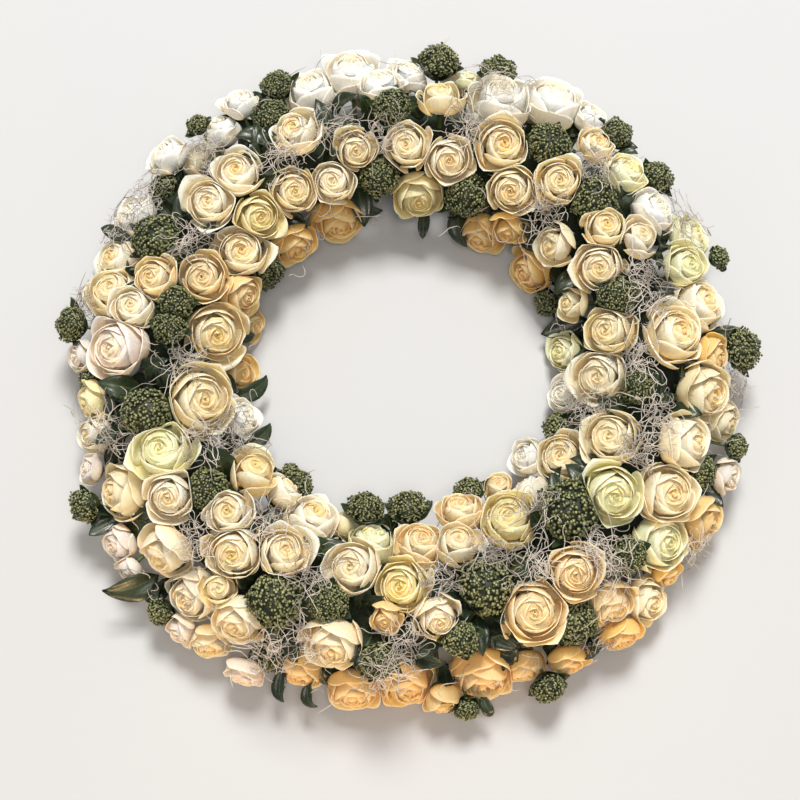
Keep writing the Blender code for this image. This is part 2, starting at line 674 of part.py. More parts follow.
def trimmed_leaf(bloom, blooms, twigs, leaves_before):
    """A leaf cut back where it would run into heads, twigs or leaves of other sprays."""
    blade = leaf(bloom, blooms)
    others = [
        fattened(twig(blooms[a], blooms[b], crossing))
        for (a, b), crossing in twigs.items()
        if a not in bloom.family and np.linalg.norm(crossing - bloom.place) < LEAF_NEIGHBOURS
    ]
    for k in bloom.near:
        other = blooms[k]
        if k in bloom.family or np.linalg.norm(other.place - bloom.place) > LEAF_NEIGHBOURS:
            continue
        if other.kind != "leaf":
            others.append(fattened(head(other, False)))
        elif k in leaves_before:
            others.append(fattened(leaf(other, blooms)))
    mesh = combined(blade, others, "DIFFERENCE")
    keep_body_at(mesh, bloom.knot)
    return bpy.data.objects.new("leaf", mesh)


def turned_ring(name, section, middle):
    """A ring turned round the middle; its section is given as distances from its radius and heights."""
    bm = bmesh.new()
    corners = [bm.verts.new((RING_RADIUS + across, 0.0, height)) for across, height in section]
    for k, corner in enumerate(corners):
        bm.edges.new((corner, corners[(k + 1) % len(corners)]))
    mesh = bpy.data.meshes.new(name)
    bm.to_mesh(mesh)
    bm.free()
    ring = bpy.data.objects.new(name, mesh)
    ring.location = middle
    turn = ring.modifiers.new("turned_round_the_middle", "SCREW")
    turn.steps = RING_STEPS
    turn.render_steps = RING_STEPS
    turn.use_merge_vertices = True
    turn.merge_threshold = 0.0001
    turn.use_smooth_shade = False
    return ring


def foam_section():
    """A ten-sided section with a flat underside."""
    angles = -math.tau * np.arange(10) / 10
    return [(FOAM_RADIUS * math.cos(a), CORE_HEIGHT + FOAM_RADIUS * math.sin(a)) for a in angles]


def tray_section():
    """A shallow trough round the underside of the foam: floor, two slanted walls and a flat bottom."""
    high, low = foam_section()[1:3]
    slope = unit(np.array(high) - np.array(low))
    outward = np.array([slope[1], -slope[0]])
    inner_low, inner_high = low + outward * GAP, high + outward * GAP
    inner_high = inner_low + slope * (TRAY_DEPTH - inner_low[1]) / slope[1]
    inner_low = inner_low + slope * (TRAY_WALL - inner_low[1]) / slope[1]
    outer_high = inner_high + outward * TRAY_WALL
    outer_low = outer_high - slope * outer_high[1] / slope[1]
    half = [inner_high, inner_low]
    half_out = [outer_low, outer_high]
    return [
        *[(-x, z) for x, z in half],
        *[(x, z) for x, z in half[::-1]],
        *[(x, z) for x, z in half_out[::-1]],
        *[(-x, z) for x, z in half_out],
    ]


def stem_hole(bloom):
    """The cutter for a plain four-sided hole that a root stem stands in."""
    core, away, _ = round_core(bloom.foot)
    across, up = sides_of(away, SLANT)
    angles = math.tau * np.arange(4) / 4
    spokes = across * np.cos(angles)[:, None] + up * np.sin(angles)[:, None]
    spokes = spokes * (STEM_RADIUS + HOLE_SPARE) / math.cos(math.pi / 4)
    ends = core + away * (STEM_END - HOLE_SPARE), core + away * STEM_SHELL
    return loft("stem_hole", [(end + spokes, 0.0) for end in ends])


def offset_to_origin(pieces):
    """The shift that brings the middle of the pieces' box over the origin."""
    corners = np.array([vert.co for piece in pieces for vert in piece.data.vertices])
    middle = (corners.min(axis=0) + corners.max(axis=0)) / 2
    return -middle[0], -middle[1], 0.0


def main():
    for old in list(bpy.data.objects):
        bpy.data.objects.remove(old)
    wreath = new_collection("rose_wreath")
    cutters = new_collection("cutters")
    petals = finish("cream_petals", (0.86, 0.76, 0.56), 0.55)
    sprig_green = finish("skimmia_green", (0.10, 0.14, 0.05), 0.60)
    foam_green = finish("foam_green", (0.10, 0.20, 0.10), 0.90)
    tray_green = finish("tray_green", (0.03, 0.07, 0.04), 0.45)

    blooms = make_blooms()
    for bloom in blooms:
        set_foot(bloom)
    ties = find_ties(blooms)
    family_of, sort_of = families(blooms, ties)
    for bloom in blooms:
        bloom.family = [k for k in family_of if family_of[k] == family_of[bloom.number]]
        bloom.turn = math.atan2(bloom.place[1], bloom.place[0])
    names = sorted(set(family_of.values()), key=lambda name: blooms[name].turn)

    twigs = {}
    for name in names:
        twigs |= {pair: ties[pair] for pair in chosen_tree(blooms[name].family, ties, blooms)}

    roots, leaves_done, counts = [], set(), {"rose_spray": 0, "skimmia_sprig": 0}
    for name in names:
        family = blooms[name].family
        middle = np.mean([blooms[k].place for k in family], axis=0)
        able = [blooms[k] for k in family if blooms[k].rooted and blooms[k].kind != "leaf"]
        root = min(able, key=lambda bloom: np.linalg.norm(bloom.place - middle))
        roots.append(root)
        pieces = []
        for k in family:
            if blooms[k].kind == "leaf":
                pieces.append(trimmed_leaf(blooms[k], blooms, twigs, leaves_done))
                leaves_done.add(k)
            else:
                pieces.append(head(blooms[k], blooms[k] is root))
        pieces += [twig(blooms[a], blooms[b], crossing) for (a, b), crossing in twigs.items() if a in family]
        mesh = combined(pieces[0], pieces[1:], "UNION")
        keep_body_at(mesh, root.foot)
        kind = "rose_spray" if sort_of(name) == "rose" else "skimmia_sprig"
        counts[kind] += 1
        spray = bpy.data.objects.new(f"{kind}_{counts[kind]:02d}", mesh)
        mesh.materials.append(petals if kind == "rose_spray" else sprig_green)
        wreath.objects.link(spray)
        if len(family) > 1:
            thinner = spray.modifiers.new("fewer_faces_at_the_joints", "DECIMATE")
            thinner.ratio = FACES_KEPT
            thinner.use_collapse_triangulate = True

    offset = offset_to_origin(wreath.objects)
    for spray in wreath.objects:
        spray.location = offset
    for root in roots:
        cutter = stem_hole(root)
        cutter.location = offset
        cutter.hide_render = True
        cutter.display_type = "WIRE"
        cutters.objects.link(cutter)
    foam = turned_ring("foam_ring", foam_section(), offset)
    foam.data.materials.append(foam_green)
    wreath.objects.link(foam)
    boolean = foam.modifiers.new("stem_holes", "BOOLEAN")
    boolean.operation = "DIFFERENCE"
    boolean.operand_type = "COLLECTION"
    boolean.collection = cutters
    tray = turned_ring("tray", tray_section(), offset)
    tray.data.materials.append(tray_green)
    wreath.objects.link(tray)


main()
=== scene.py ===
# %% [markdown]
# # A rose wreath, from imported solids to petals
# The wreath is a ring of floral foam in a shallow tray, with more than a hundred roses, sprigs of skimmia,
# dark leaves and curls of dry moss stuck round it until no foam shows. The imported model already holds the
# ring, the tray and a plain solid for every spray. This file grows the real flowers in the same places:
# petals in their layers, buds one by one, blades with a rib, and the moss that ties them together.

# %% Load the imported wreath
import math

import bmesh
import bpy
import numpy as np
from mathutils import Matrix, Vector
from mathutils.kdtree import KDTree


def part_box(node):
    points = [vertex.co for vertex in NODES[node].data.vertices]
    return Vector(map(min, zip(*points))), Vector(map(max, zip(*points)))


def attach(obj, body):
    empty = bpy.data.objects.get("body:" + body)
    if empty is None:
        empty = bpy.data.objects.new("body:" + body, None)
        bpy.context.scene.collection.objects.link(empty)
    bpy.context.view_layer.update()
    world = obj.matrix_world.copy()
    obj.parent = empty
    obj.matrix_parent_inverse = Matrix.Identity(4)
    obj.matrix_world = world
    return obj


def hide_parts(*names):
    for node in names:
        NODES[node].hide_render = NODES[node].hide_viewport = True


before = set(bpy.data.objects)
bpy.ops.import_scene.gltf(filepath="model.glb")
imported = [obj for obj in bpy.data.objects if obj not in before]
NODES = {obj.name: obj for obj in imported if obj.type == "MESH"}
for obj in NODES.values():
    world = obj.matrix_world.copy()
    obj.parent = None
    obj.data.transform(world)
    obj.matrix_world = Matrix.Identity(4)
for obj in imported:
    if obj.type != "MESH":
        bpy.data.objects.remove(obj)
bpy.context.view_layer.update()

# %% [markdown]
# The tray is a true ring, so its box gives the middle of the wreath. Every flower is placed round that
# middle, in the wreath's own measures: a ring of 240 mm radius, whose tube of flowers reaches 90 mm from
# the ring's core.

# %% Middle of the ring
TRAY_LOW, TRAY_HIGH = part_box("tray")
FOAM_LOW, FOAM_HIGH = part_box("foam_ring")
MIDDLE = np.array([(TRAY_LOW.x + TRAY_HIGH.x) / 2, (TRAY_LOW.y + TRAY_HIGH.y) / 2, 0.0])
RING_RADIUS = 0.240
FOAM_RADIUS = 0.036
FLOWER_REACH = 0.090
CORE_HEIGHT = (FOAM_LOW.z + FOAM_HIGH.z) / 2
HUB = np.array([0.0, 0.0, CORE_HEIGHT])
print("the ring's middle is at", MIDDLE.round(4), "and its core lies", round(CORE_HEIGHT, 4), "m up")

# %% [markdown]
# ## Camera, light and floor
# The photograph looks down on the wreath from 1.45 m, leaning back 15 degrees below its middle. One pixel
# of the 800 is then one millimetre in the plane of the ring, which gives the lens. The picture isn't quite
# centred on the ring, and a small lens shift takes that up.

# %% Camera
PICTURE = 800
CENTRE_PIXEL = (406, 370)
PIXEL = 0.001
VIEW_TILT = math.radians(15)
VIEW_DISTANCE = 1.45
SENSOR = 36.0
RIGHT = np.array([1.0, 0.0, 0.0])
UP = np.array([0.0, math.cos(VIEW_TILT), math.sin(VIEW_TILT)])
BACK = np.array([0.0, -math.sin(VIEW_TILT), math.cos(VIEW_TILT)])

camera = bpy.data.objects.new("camera", bpy.data.cameras.new("camera"))
bpy.context.scene.collection.objects.link(camera)
camera.location = MIDDLE + HUB + BACK * VIEW_DISTANCE
camera.rotation_euler = (VIEW_TILT, 0.0, 0.0)
camera.data.sensor_width = SENSOR
camera.data.lens = SENSOR * VIEW_DISTANCE / (PICTURE * PIXEL)
camera.data.shift_x = (PICTURE / 2 - CENTRE_PIXEL[0]) / PICTURE
camera.data.shift_y = -(PICTURE / 2 - CENTRE_PIXEL[1]) / PICTURE
bpy.context.scene.camera = camera
print("lens", round(camera.data.lens, 2), "mm, shift", camera.data.shift_x, camera.data.shift_y)

# %% [markdown]
# The light is that of a studio: a large soft source above the wreath's far side, a weaker one behind the
# camera that reaches in between the petals, a pale surround, and a warm light low in front, which gives the
# near roses their peach tone. The large source leans back far enough to drop the wreath's shadow towards
# the front.

# %% Lights
# Each light's name, its place, the point that it looks at, its size, its power and its colour
LIGHTS = (
    ("soft_key", (0.25, 2.95, 5.00), (0.0, 0.0, 0.05), 1.6, 402.0, (1.0, 0.97, 0.92)),
    ("soft_fill", (0.12, -0.60, 2.25), (0.0, 0.0, 0.06), 0.7, 16.0, (1.0, 0.94, 0.86)),
    ("warm_front", (-0.10, -1.90, 0.19), (0.0, 0.0, 0.06), 0.4, 20.0, (1.0, 0.64, 0.30)),
)
SURROUND_COLOUR = (1.0, 0.985, 0.965, 1.0)
SURROUND_STRENGTH = 0.33

bpy.context.scene.view_settings.view_transform = "Standard"
for name, place, towards, size, power, colour in LIGHTS:
    light = bpy.data.objects.new(name, bpy.data.lights.new(name, "AREA"))
    light.data.size = size
    light.data.energy = power
    light.data.color = colour
    light.location = place
    light.rotation_euler = (Vector(towards) - Vector(place)).to_track_quat("-Z", "Y").to_euler()
    bpy.context.scene.collection.objects.link(light)

world = bpy.data.worlds.new("pale_surround")
bpy.context.scene.world = world
world.use_nodes = True
world.node_tree.nodes["Background"].inputs["Color"].default_value = SURROUND_COLOUR
world.node_tree.nodes["Background"].inputs["Strength"].default_value = SURROUND_STRENGTH
print("lights:", [name for name, *_ in LIGHTS])


# %% Floor
FLOOR_HALF_WIDTH = 6.0
FLOOR_COLOUR = (0.522, 0.535, 0.552, 1.0)
FLOOR_ROUGHNESS = 0.9


def as_mesh(form, name):
    """A mesh with a bmesh's shape; the bmesh is freed."""
    mesh = bpy.data.meshes.new(name)
    form.to_mesh(mesh)
    form.free()
    return mesh


floor_form = bmesh.new()
bmesh.ops.create_grid(floor_form, x_segments=1, y_segments=1, size=FLOOR_HALF_WIDTH)
floor = bpy.data.objects.new("floor", as_mesh(floor_form, "floor"))
bpy.context.scene.collection.objects.link(floor)
floor_paint = bpy.data.materials.new("pale_floor")
floor_paint.use_nodes = True
floor_paint.node_tree.nodes["Principled BSDF"].inputs["Base Color"].default_value = FLOOR_COLOUR
floor_paint.node_tree.nodes["Principled BSDF"].inputs["Roughness"].default_value = FLOOR_ROUGHNESS
floor.data.materials.append(floor_paint)
print("the floor is", 2 * FLOOR_HALF_WIDTH, "m wide")

# %% [markdown]
# ## Where each flower sits
# The flowers are listed as they show in the photograph, by the pixel of the head and its width in
# millimetres. A rose also has the pixel of its centre swirl, which tells which way it looks, and how far it
# has opened. The solids were placed from the same rows with the same rule, so the petals grow where the
# solids are.

# %% Flowers of the photograph
# Rose heads: pixel of the head, width in millimetres, pixel of its centre swirl, and how open it is
ROSES = (
    (350, 80, 56, 352, 68, .55), (314, 91, 52, 309, 80, .55), (378, 88, 44, 377, 76, .6),
    (409, 77, 38, 412, 68, .5), (297, 133, 44, 291, 126, .45), (333, 182, 39, 331, 179, .55),
    (293, 191, 43, 296, 191, .6), (356, 150, 38, 357, 154, .5), (338, 218, 50, 340, 234, .5),
    (294, 243, 42, 300, 257, .5), (238, 174, 46, 236, 168, .6), (210, 203, 46, 209, 202, .65),
    (257, 218, 44, 262, 220, .6), (222, 130, 42, 217, 119, .45), (244, 108, 38, 244, 97, .45),
    (242, 254, 52, 240, 247, .75), (203, 278, 46, 201, 277, .6), (240, 290, 42, 252, 298, .5),
    (133, 220, 44, 125, 213, .45), (119, 257, 44, 113, 252, .45), (169, 160, 42, 162, 151, .5),
    (124, 347, 58, 116, 348, .7), (133, 310, 42, 134, 305, .55), (115, 292, 50, 117, 284, .5),
    (155, 281, 42, 149, 278, .5), (83, 356, 32, 75, 358, .4), (214, 333, 56, 213, 338, .75),
    (247, 328, 30, 255, 330, .4), (238, 373, 36, 243, 374, .4), (197, 402, 60, 205, 402, .65),
    (240, 418, 38, 248, 412, .6), (163, 452, 54, 162, 443, .75), (174, 495, 46, 174, 498, .65),
    (125, 492, 52, 110, 490, .45), (95, 430, 36, 88, 430, .35), (95, 403, 38, 83, 408, .4),
    (92, 470, 28, 84, 467, .4), (168, 550, 52, 158, 564, .4), (120, 543, 36, 112, 546, .5),
    (130, 568, 26, 127, 574, .4), (236, 549, 50, 233, 550, .65), (227, 515, 42, 224, 511, .5),
    (252, 475, 46, 255, 463, .4), (283, 553, 46, 289, 546, .5), (316, 522, 52, 322, 509, .5),
    (195, 595, 50, 187, 598, .45), (218, 588, 32, 222, 584, .4), (240, 618, 48, 236, 630, .45),
    (182, 628, 32, 176, 633, .45), (210, 640, 38, 214, 650, .45), (250, 668, 34, 248, 679, .45),
    (336, 642, 52, 331, 655, .45), (303, 673, 40, 300, 684, .5), (355, 688, 46, 355, 699, .5),
    (354, 568, 48, 347, 566, .55), (378, 540, 48, 378, 526, .5), (401, 588, 50, 396, 588, .8),
    (388, 615, 30, 385, 623, .45), (438, 617, 38, 442, 625, .45), (457, 545, 42, 460, 536, .4),
    (420, 545, 42, 424, 536, .5), (463, 510, 40, 464, 500, .5), (510, 520, 52, 509, 515, .65),
    (503, 490, 32, 505, 482, .5), (412, 683, 52, 415, 692, .5), (443, 697, 38, 446, 711, .3),
    (487, 668, 58, 487, 682, .6), (521, 670, 40, 523, 682, .5), (532, 610, 54, 532, 607, .65),
    (566, 658, 36, 567, 669, .5), (575, 572, 46, 573, 574, .7), (610, 603, 44, 615, 613, .5),
    (645, 600, 42, 653, 600, .5), (622, 632, 38, 625, 643, .5), (665, 493, 54, 669, 490, .65),
    (658, 540, 54, 666, 538, .6), (701, 515, 46, 712, 521, .4), (665, 573, 32, 672, 581, .5),
    (725, 475, 34, 734, 476, .4), (612, 438, 50, 606, 434, .75), (609, 494, 52, 611, 500, .7),
    (563, 458, 50, 563, 455, .6), (528, 458, 34, 521, 456, .5), (697, 393, 56, 709, 402, .65),
    (682, 440, 56, 699, 438, .55), (722, 420, 38, 731, 425, .5), (710, 358, 38, 721, 362, .45),
    (601, 377, 52, 597, 377, .8), (610, 330, 48, 603, 327, .65), (565, 352, 36, 558, 350, .6),
    (566, 395, 34, 560, 392, .6), (573, 304, 32, 561, 301, .4), (672, 336, 56, 682, 328, .6),
    (697, 303, 52, 706, 295, .65), (685, 268, 42, 689, 265, .5), (687, 238, 44, 698, 233, .5),
    (600, 268, 46, 599, 270, .65), (605, 226, 40, 607, 221, .55), (636, 238, 38, 643, 232, .35),
    (652, 212, 44, 663, 204, .5), (557, 246, 40, 543, 246, .4), (533, 272, 46, 520, 276, .5),
    (512, 190, 44, 510, 193, .65), (502, 145, 50, 505, 145, .55), (562, 183, 46, 560, 182, .7),
    (509, 228, 34, 508, 239, .4), (482, 232, 44, 478, 246, .5), (498, 106, 60, 499, 92, .55),
    (552, 107, 60, 553, 93, .55), (590, 120, 38, 596, 112, .5), (596, 146, 34, 598, 141, .5),
    (624, 174, 40, 629, 166, .45), (449, 160, 44, 450, 163, .6), (407, 146, 44, 404, 144, .6),
    (418, 195, 46, 420, 207, .45), (440, 100, 42, 438, 82, .35), (468, 82, 26, 468, 73, .3),
)

# Skimmia heads: pixel of the head and width in millimetres
SKIMMIAS = (
    (281, 88, 34), (270, 117, 36), (391, 106, 36), (379, 176, 38), (166, 185, 30), (201, 127, 22),
    (158, 240, 46), (267, 272, 32), (175, 303, 32), (170, 328, 30), (73, 325, 34), (93, 382, 28),
    (147, 413, 46), (86, 505, 32), (208, 494, 38), (289, 488, 40), (366, 518, 36), (408, 514, 38),
    (467, 497, 30), (276, 599, 50), (329, 603, 34), (378, 658, 34), (265, 658, 34), (163, 612, 28),
    (485, 588, 50), (460, 638, 32), (466, 702, 26), (570, 513, 54), (627, 556, 34), (575, 621, 42),
    (544, 682, 32), (700, 472, 32), (735, 447, 24), (557, 428, 28), (638, 387, 30), (738, 348, 40),
    (617, 298, 36), (548, 302, 28), (718, 258, 22), (657, 178, 32), (613, 134, 34), (549, 145, 42),
    (592, 200, 44), (467, 195, 42), (438, 64, 42), (498, 75, 36),
)

# Leaves: pixel of the gap, pixel of the tip, width in millimetres
LEAVES = (
    (247, 132, 231, 122, 20), (262, 155, 242, 160, 16), (186, 184, 182, 166, 12), (165, 207, 160, 192, 16),
    (259, 105, 254, 95, 10), (368, 110, 361, 99, 12), (360, 197, 362, 212, 20), (328, 157, 340, 152, 12),
    (424, 220, 423, 236, 10), (458, 222, 466, 240, 18), (570, 325, 551, 331, 20), (575, 277, 562, 288, 18),
    (722, 337, 737, 333, 16), (622, 410, 606, 404, 18), (684, 409, 700, 415, 14), (702, 494, 716, 503, 16),
    (550, 644, 546, 658, 13), (463, 608, 462, 624, 14), (545, 525, 535, 518, 16), (514, 564, 526, 574, 18),
    (370, 605, 382, 598, 14), (249, 577, 238, 569, 18), (140, 584, 114, 587, 24), (152, 532, 128, 522, 24),
    (108, 526, 98, 530, 12), (225, 472, 212, 456, 24), (118, 432, 106, 440, 16), (128, 388, 110, 385, 20),
    (147, 371, 170, 360, 16), (156, 381, 157, 365, 10), (136, 270, 131, 266, 12), (180, 260, 160, 256, 14),
    (250, 393, 258, 382, 16), (243, 333, 250, 333, 10), (256, 441, 262, 432, 14), (280, 682, 284, 696, 12),
    (306, 690, 313, 699, 10), (481, 699, 491, 708, 6), (372, 638, 360, 655, 22), (122, 237, 111, 232, 12),
    (622, 156, 633, 156, 10),
)

# Roses on the sides that the photograph doesn't show: angle round the ring, angle round the tube, width
HIDDEN_ROSES = (
    (44, 4, 44), (63, -2, 48), (80, 6, 42), (97, -2, 46), (115, 5, 44), (134, 0, 46),
    (226, 172, 40), (247, 178, 42), (268, 170, 40), (290, 178, 42), (312, 172, 40),
)

# %% [markdown]
# A pixel is a line of sight, and the flower sits where that line first meets the tube of flowers.
# Neighbours would overlap there, so they push each other apart along the line of sight, as flowers do when
# the last ones are pressed in between the others.

# %% Places round the ring
SIGHT_SHARES = np.linspace(0.88, 1.03, 400)


def unit(vectors):
    """The vectors at length one."""
    return vectors / np.linalg.norm(vectors, axis=-1, keepdims=True)


def round_core(points):
    """The nearest points of the core circle, the directions away from it, and the distances."""
    flat = unit(points * (1.0, 1.0, 0.0))
    core = flat * RING_RADIUS + HUB
    away = points - core
    far = np.linalg.norm(away, axis=-1, keepdims=True)
    return core, away / far, far[..., 0]


def around_core(turn, climb, far):
    """Points at an angle round the ring, an angle round the tube, and a distance from the core circle."""
    turn, climb = np.asarray(turn), np.asarray(climb)
    flat = np.stack([np.cos(turn), np.sin(turn), 0 * turn], axis=-1)
    away = flat * np.cos(climb)[..., None] + np.array([0.0, 0.0, 1.0]) * np.sin(climb)[..., None]
    return flat * RING_RADIUS + HUB + away * far


def seen_at(x, y, reach):
    """Where the line of sight through a pixel first meets the flower mass, this far from the core circle."""
    eye = HUB + BACK * VIEW_DISTANCE
    sight = RIGHT * (x - CENTRE_PIXEL[0]) * PIXEL + UP * (CENTRE_PIXEL[1] - y) * PIXEL - BACK * VIEW_DISTANCE
    line = eye + sight * SIGHT_SHARES[:, None]
    far = round_core(line)[2]
    inside = far <= reach
    return line[np.argmax(inside) if inside.any() else np.argmin(far)]


# %% Settle the flowers
PRESSED = 0.84
SETTLING_STEPS = 150
STEP_ALONG_SIGHT = 0.8
STEP_ACROSS_SIGHT = 0.5
STEP_HOMEWARDS = 0.04
LEAF_DEPTH = 0.058
LEAF_TIP_REACH = 0.070
LEAF_BALL = 0.010
LEAF_ABOVE_FLOOR = 0.008
HEAD_ABOVE_FLOOR = 0.004
HEAD_OFF_FOAM = 0.003
HEAD_BASE = 0.92


def settled(home, radius, leafy):
    """Pushes the heads apart until they only just press on each other, clear of the foam and the floor."""
    place = home.copy()
    wanted = PRESSED * (radius[:, None] + radius[None])
    lowest = np.where(leafy, LEAF_ABOVE_FLOOR, radius + HEAD_ABOVE_FLOOR)
    nearest = FOAM_RADIUS + np.where(leafy, LEAF_BALL, HEAD_BASE * radius + HEAD_OFF_FOAM)
    for _ in range(SETTLING_STEPS):
        gap = place[:, None] - place[None]
        far = np.linalg.norm(gap, axis=2) + np.eye(len(place))
        push = np.clip(wanted - far, 0, None) * 0.5 / far * (1 - np.eye(len(place)))
        move = (gap * push[..., None]).sum(axis=1)
        along = (move @ BACK)[:, None] * BACK
        homewards = STEP_HOMEWARDS * (home - place)
        place = place + STEP_ALONG_SIGHT * along + STEP_ACROSS_SIGHT * (move - along) + homewards
        core, away, far = round_core(place)
        place = np.where((far < nearest)[:, None], core + away * nearest[:, None], place)
        place[:, 2] = np.maximum(place[:, 2], lowest)
    return place

# %% [markdown]
# A rose leans towards its root, and it looks where its centre swirl lies off the middle of the head. A
# skimmia head looks up out of the ring, and turns a little to the light.

# %% Which way each flower looks
SWIRL_DEPTH = 0.375
MOST_TILT = 0.85
LOOK_SHARE = 0.7
LEAST_OUTWARD = 0.55


def rose_facing(row, out):
    """The way a rose looks, from where its centre swirl lies in the photograph, leaning towards its root."""
    x, y, width, swirl_x, swirl_y = row[:5]
    tilt = np.array([swirl_x - x, y - swirl_y]) / (SWIRL_DEPTH * width)
    tilt *= min(1.0, MOST_TILT / max(1e-6, np.linalg.norm(tilt)))
    look = RIGHT * tilt[0] + UP * tilt[1] + BACK * math.sqrt(1 - tilt @ tilt)
    facing = unit(LOOK_SHARE * look + (1 - LOOK_SHARE) * out)
    while facing @ out < LEAST_OUTWARD:
        facing = unit(facing + 0.2 * out)
    return facing


class Bloom:
    """One head or leaf: its kind, row, place and size, the way it looks, and its neighbours."""

    def __init__(self, number, kind, row, place, radius):
        self.number = number
        self.kind = kind
        self.row = row
        self.place = place
        self.radius = radius
        self.out = round_core(place)[1]
        self.facing = self.out
        if kind == "rose" and len(row) > 3:
            self.facing = rose_facing(row, self.out)
        if kind == "skimmia":
            self.facing = unit(LOOK_SHARE * self.out + (1 - LOOK_SHARE) * BACK)


# %% Every bloom at its settled place
NEIGHBOURS = 0.130
SMALLEST_ROSE_DEPTH = 0.020
SMALLEST_SKIMMIA_DEPTH = 0.016
SKIMMIA_BELOW_ROSES = 0.004


def reach_of(kind, half):
    """How far the middle of a head or leaf lies from the core circle."""
    if kind == "leaf":
        return LEAF_DEPTH
    if kind == "rose":
        return FLOWER_REACH - max(half, SMALLEST_ROSE_DEPTH)
    return FLOWER_REACH - SKIMMIA_BELOW_ROSES - max(half, SMALLEST_SKIMMIA_DEPTH)


def make_blooms():
    """Every rose head, skimmia head and leaf at its settled place."""
    kinds, rows, radius, home = [], [], [], []
    for kind, table in (("rose", ROSES), ("rose", HIDDEN_ROSES), ("skimmia", SKIMMIAS), ("leaf", LEAVES)):
        for row in table:
            half = LEAF_BALL if kind == "leaf" else row[2] / 2000
            kinds.append(kind)
            rows.append(row)
            radius.append(half)
            if table is HIDDEN_ROSES:
                turn, climb = np.radians(row[:2])
                home.append(around_core(turn, climb, reach_of(kind, half)))
            else:
                home.append(seen_at(row[0], row[1], reach_of(kind, half)))
    radius = np.array(radius)
    place = settled(np.array(home), radius, np.array(kinds) == "leaf")
    blooms = [Bloom(k, *each) for k, each in enumerate(zip(kinds, rows, place, radius))]
    for k, bloom in enumerate(blooms):
        gap = place - place[k]
        far = np.linalg.norm(gap, axis=1)
        near = np.flatnonzero((far > 0) & (far < NEIGHBOURS))
        bloom.normals = gap[near] / far[near, None]
        bloom.walls = (far[near] ** 2 + radius[k] ** 2 - radius[near] ** 2) / (2 * far[near])
    return blooms


BLOOMS = make_blooms()
HEADS = [bloom for bloom in BLOOMS if bloom.kind != "leaf"]
print("settled", len(HEADS), "heads and", len(BLOOMS) - len(HEADS), "leaves")

# %% [markdown]
# Each flower belongs to the node whose solid holds it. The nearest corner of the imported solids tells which
# one, and the flower's new pieces then stand for that node.

# %% Find each flower's node
CROWN = 0.6


def find_nodes(blooms):
    """Gives each bloom the name of the spray or sprig whose mesh has a corner nearest to it."""
    corners, names = [], []
    for name, node in NODES.items():
        if name.startswith(("rose_spray", "skimmia_sprig")):
            corners += [vert.co for vert in node.data.vertices]
            names += [name] * len(node.data.vertices)
    tree = KDTree(len(corners))
    for k, corner in enumerate(corners):
        tree.insert(corner, k)
    tree.balance()
    for bloom in blooms:
        top = MIDDLE + bloom.place
        if bloom.kind != "leaf":
            top = top + CROWN * bloom.radius * bloom.facing
        bloom.node = names[tree.find(top)[1]]


find_nodes(BLOOMS)
FLOWER_NODES = sorted({bloom.node for bloom in BLOOMS})
print("the flowers are in", len(FLOWER_NODES), "nodes")

# %% [markdown]
# Packed flowers dent each other. Every head has flat walls towards its neighbours, halfway between them,
# and what would reach through a wall is eased back smoothly, so that petals keep their order and never
# cross.

# %% Press a head between its neighbours
WALL_SOFTNESS = 14
FREE_SHARE = 0.90
WALL_SPARE = 0.0003


def pressed(bloom, points, spare=WALL_SPARE):
    """The points drawn in towards the head's middle where its neighbours leave less room."""
    away = points - bloom.place
    far = np.linalg.norm(away, axis=1) + 1e-9
    facing_walls = np.clip(away / far[:, None] @ bloom.normals.T / (bloom.walls - spare), 0, None)
    nearness = (facing_walls ** WALL_SOFTNESS).sum(axis=1) ** (1 / WALL_SOFTNESS)
    share = far * nearness
    over = np.clip(share - FREE_SHARE, 0, None) / (1 - FREE_SHARE)
    kept = np.where(share > FREE_SHARE, FREE_SHARE + (1 - FREE_SHARE) * (1 - np.exp(-over)), share)
    shrink = np.where(share > FREE_SHARE, kept / np.maximum(share, 1e-9), 1.0)
    return bloom.place + away * shrink[:, None]


def off_floor(places, height):
    """The places, with those below this height lifted to it."""
    places[:, 2] = np.maximum(places[:, 2], height)
    return places

# %% [markdown]
# ## Finishes
# Petals, leaves, buds and moss all grew, so none of them has one even colour. A soft mottling comes back in
# every finish, so it is a node group that is built once and placed in each material with its own values. The
# fine veins of the petals are a second group, which keeps the petal finish short to read.

# %% Small helpers for node trees
def add_node(tree, kind, inputs=None, **settings):
    """A node with its settings; an input is given as a value or as another node's output."""
    node = tree.nodes.new(kind)
    for name, value in settings.items():
        setattr(node, name, value)
    for name, value in (inputs or {}).items():
        socket = node.inputs[name]
        if isinstance(value, bpy.types.NodeSocket):
            tree.links.new(value, socket)
        else:
            socket.default_value = value
    return node


def arithmetic(tree, operation, first, second):
    """The output of a Math node."""
    return add_node(tree, "ShaderNodeMath", {0: first, 1: second}, operation=operation).outputs[0]


def blended(tree, share, first, second, blend="MIX"):
    """The output of a colour Mix node."""
    inputs = {0: share, 6: first, 7: second}
    return add_node(tree, "ShaderNodeMix", inputs, data_type="RGBA", blend_type=blend).outputs[2]


def ramped(tree, value, low, high, low_to=0.0, high_to=1.0):
    """The output of a smooth Map Range node."""
    inputs = {"Value": value, "From Min": low, "From Max": high, "To Min": low_to, "To Max": high_to}
    return add_node(tree, "ShaderNodeMapRange", inputs, interpolation_type="SMOOTHSTEP").outputs[0]


def new_group(name, inputs, outputs):
    """An empty shader node group with named sockets, and its input and output nodes."""
    group = bpy.data.node_groups.new(name, "ShaderNodeTree")
    for socket, kind in inputs:
        group.interface.new_socket(socket, in_out="INPUT", socket_type=kind)
    for socket, kind in outputs:
        group.interface.new_socket(socket, in_out="OUTPUT", socket_type=kind)
    return group, group.nodes.new("NodeGroupInput"), group.nodes.new("NodeGroupOutput")


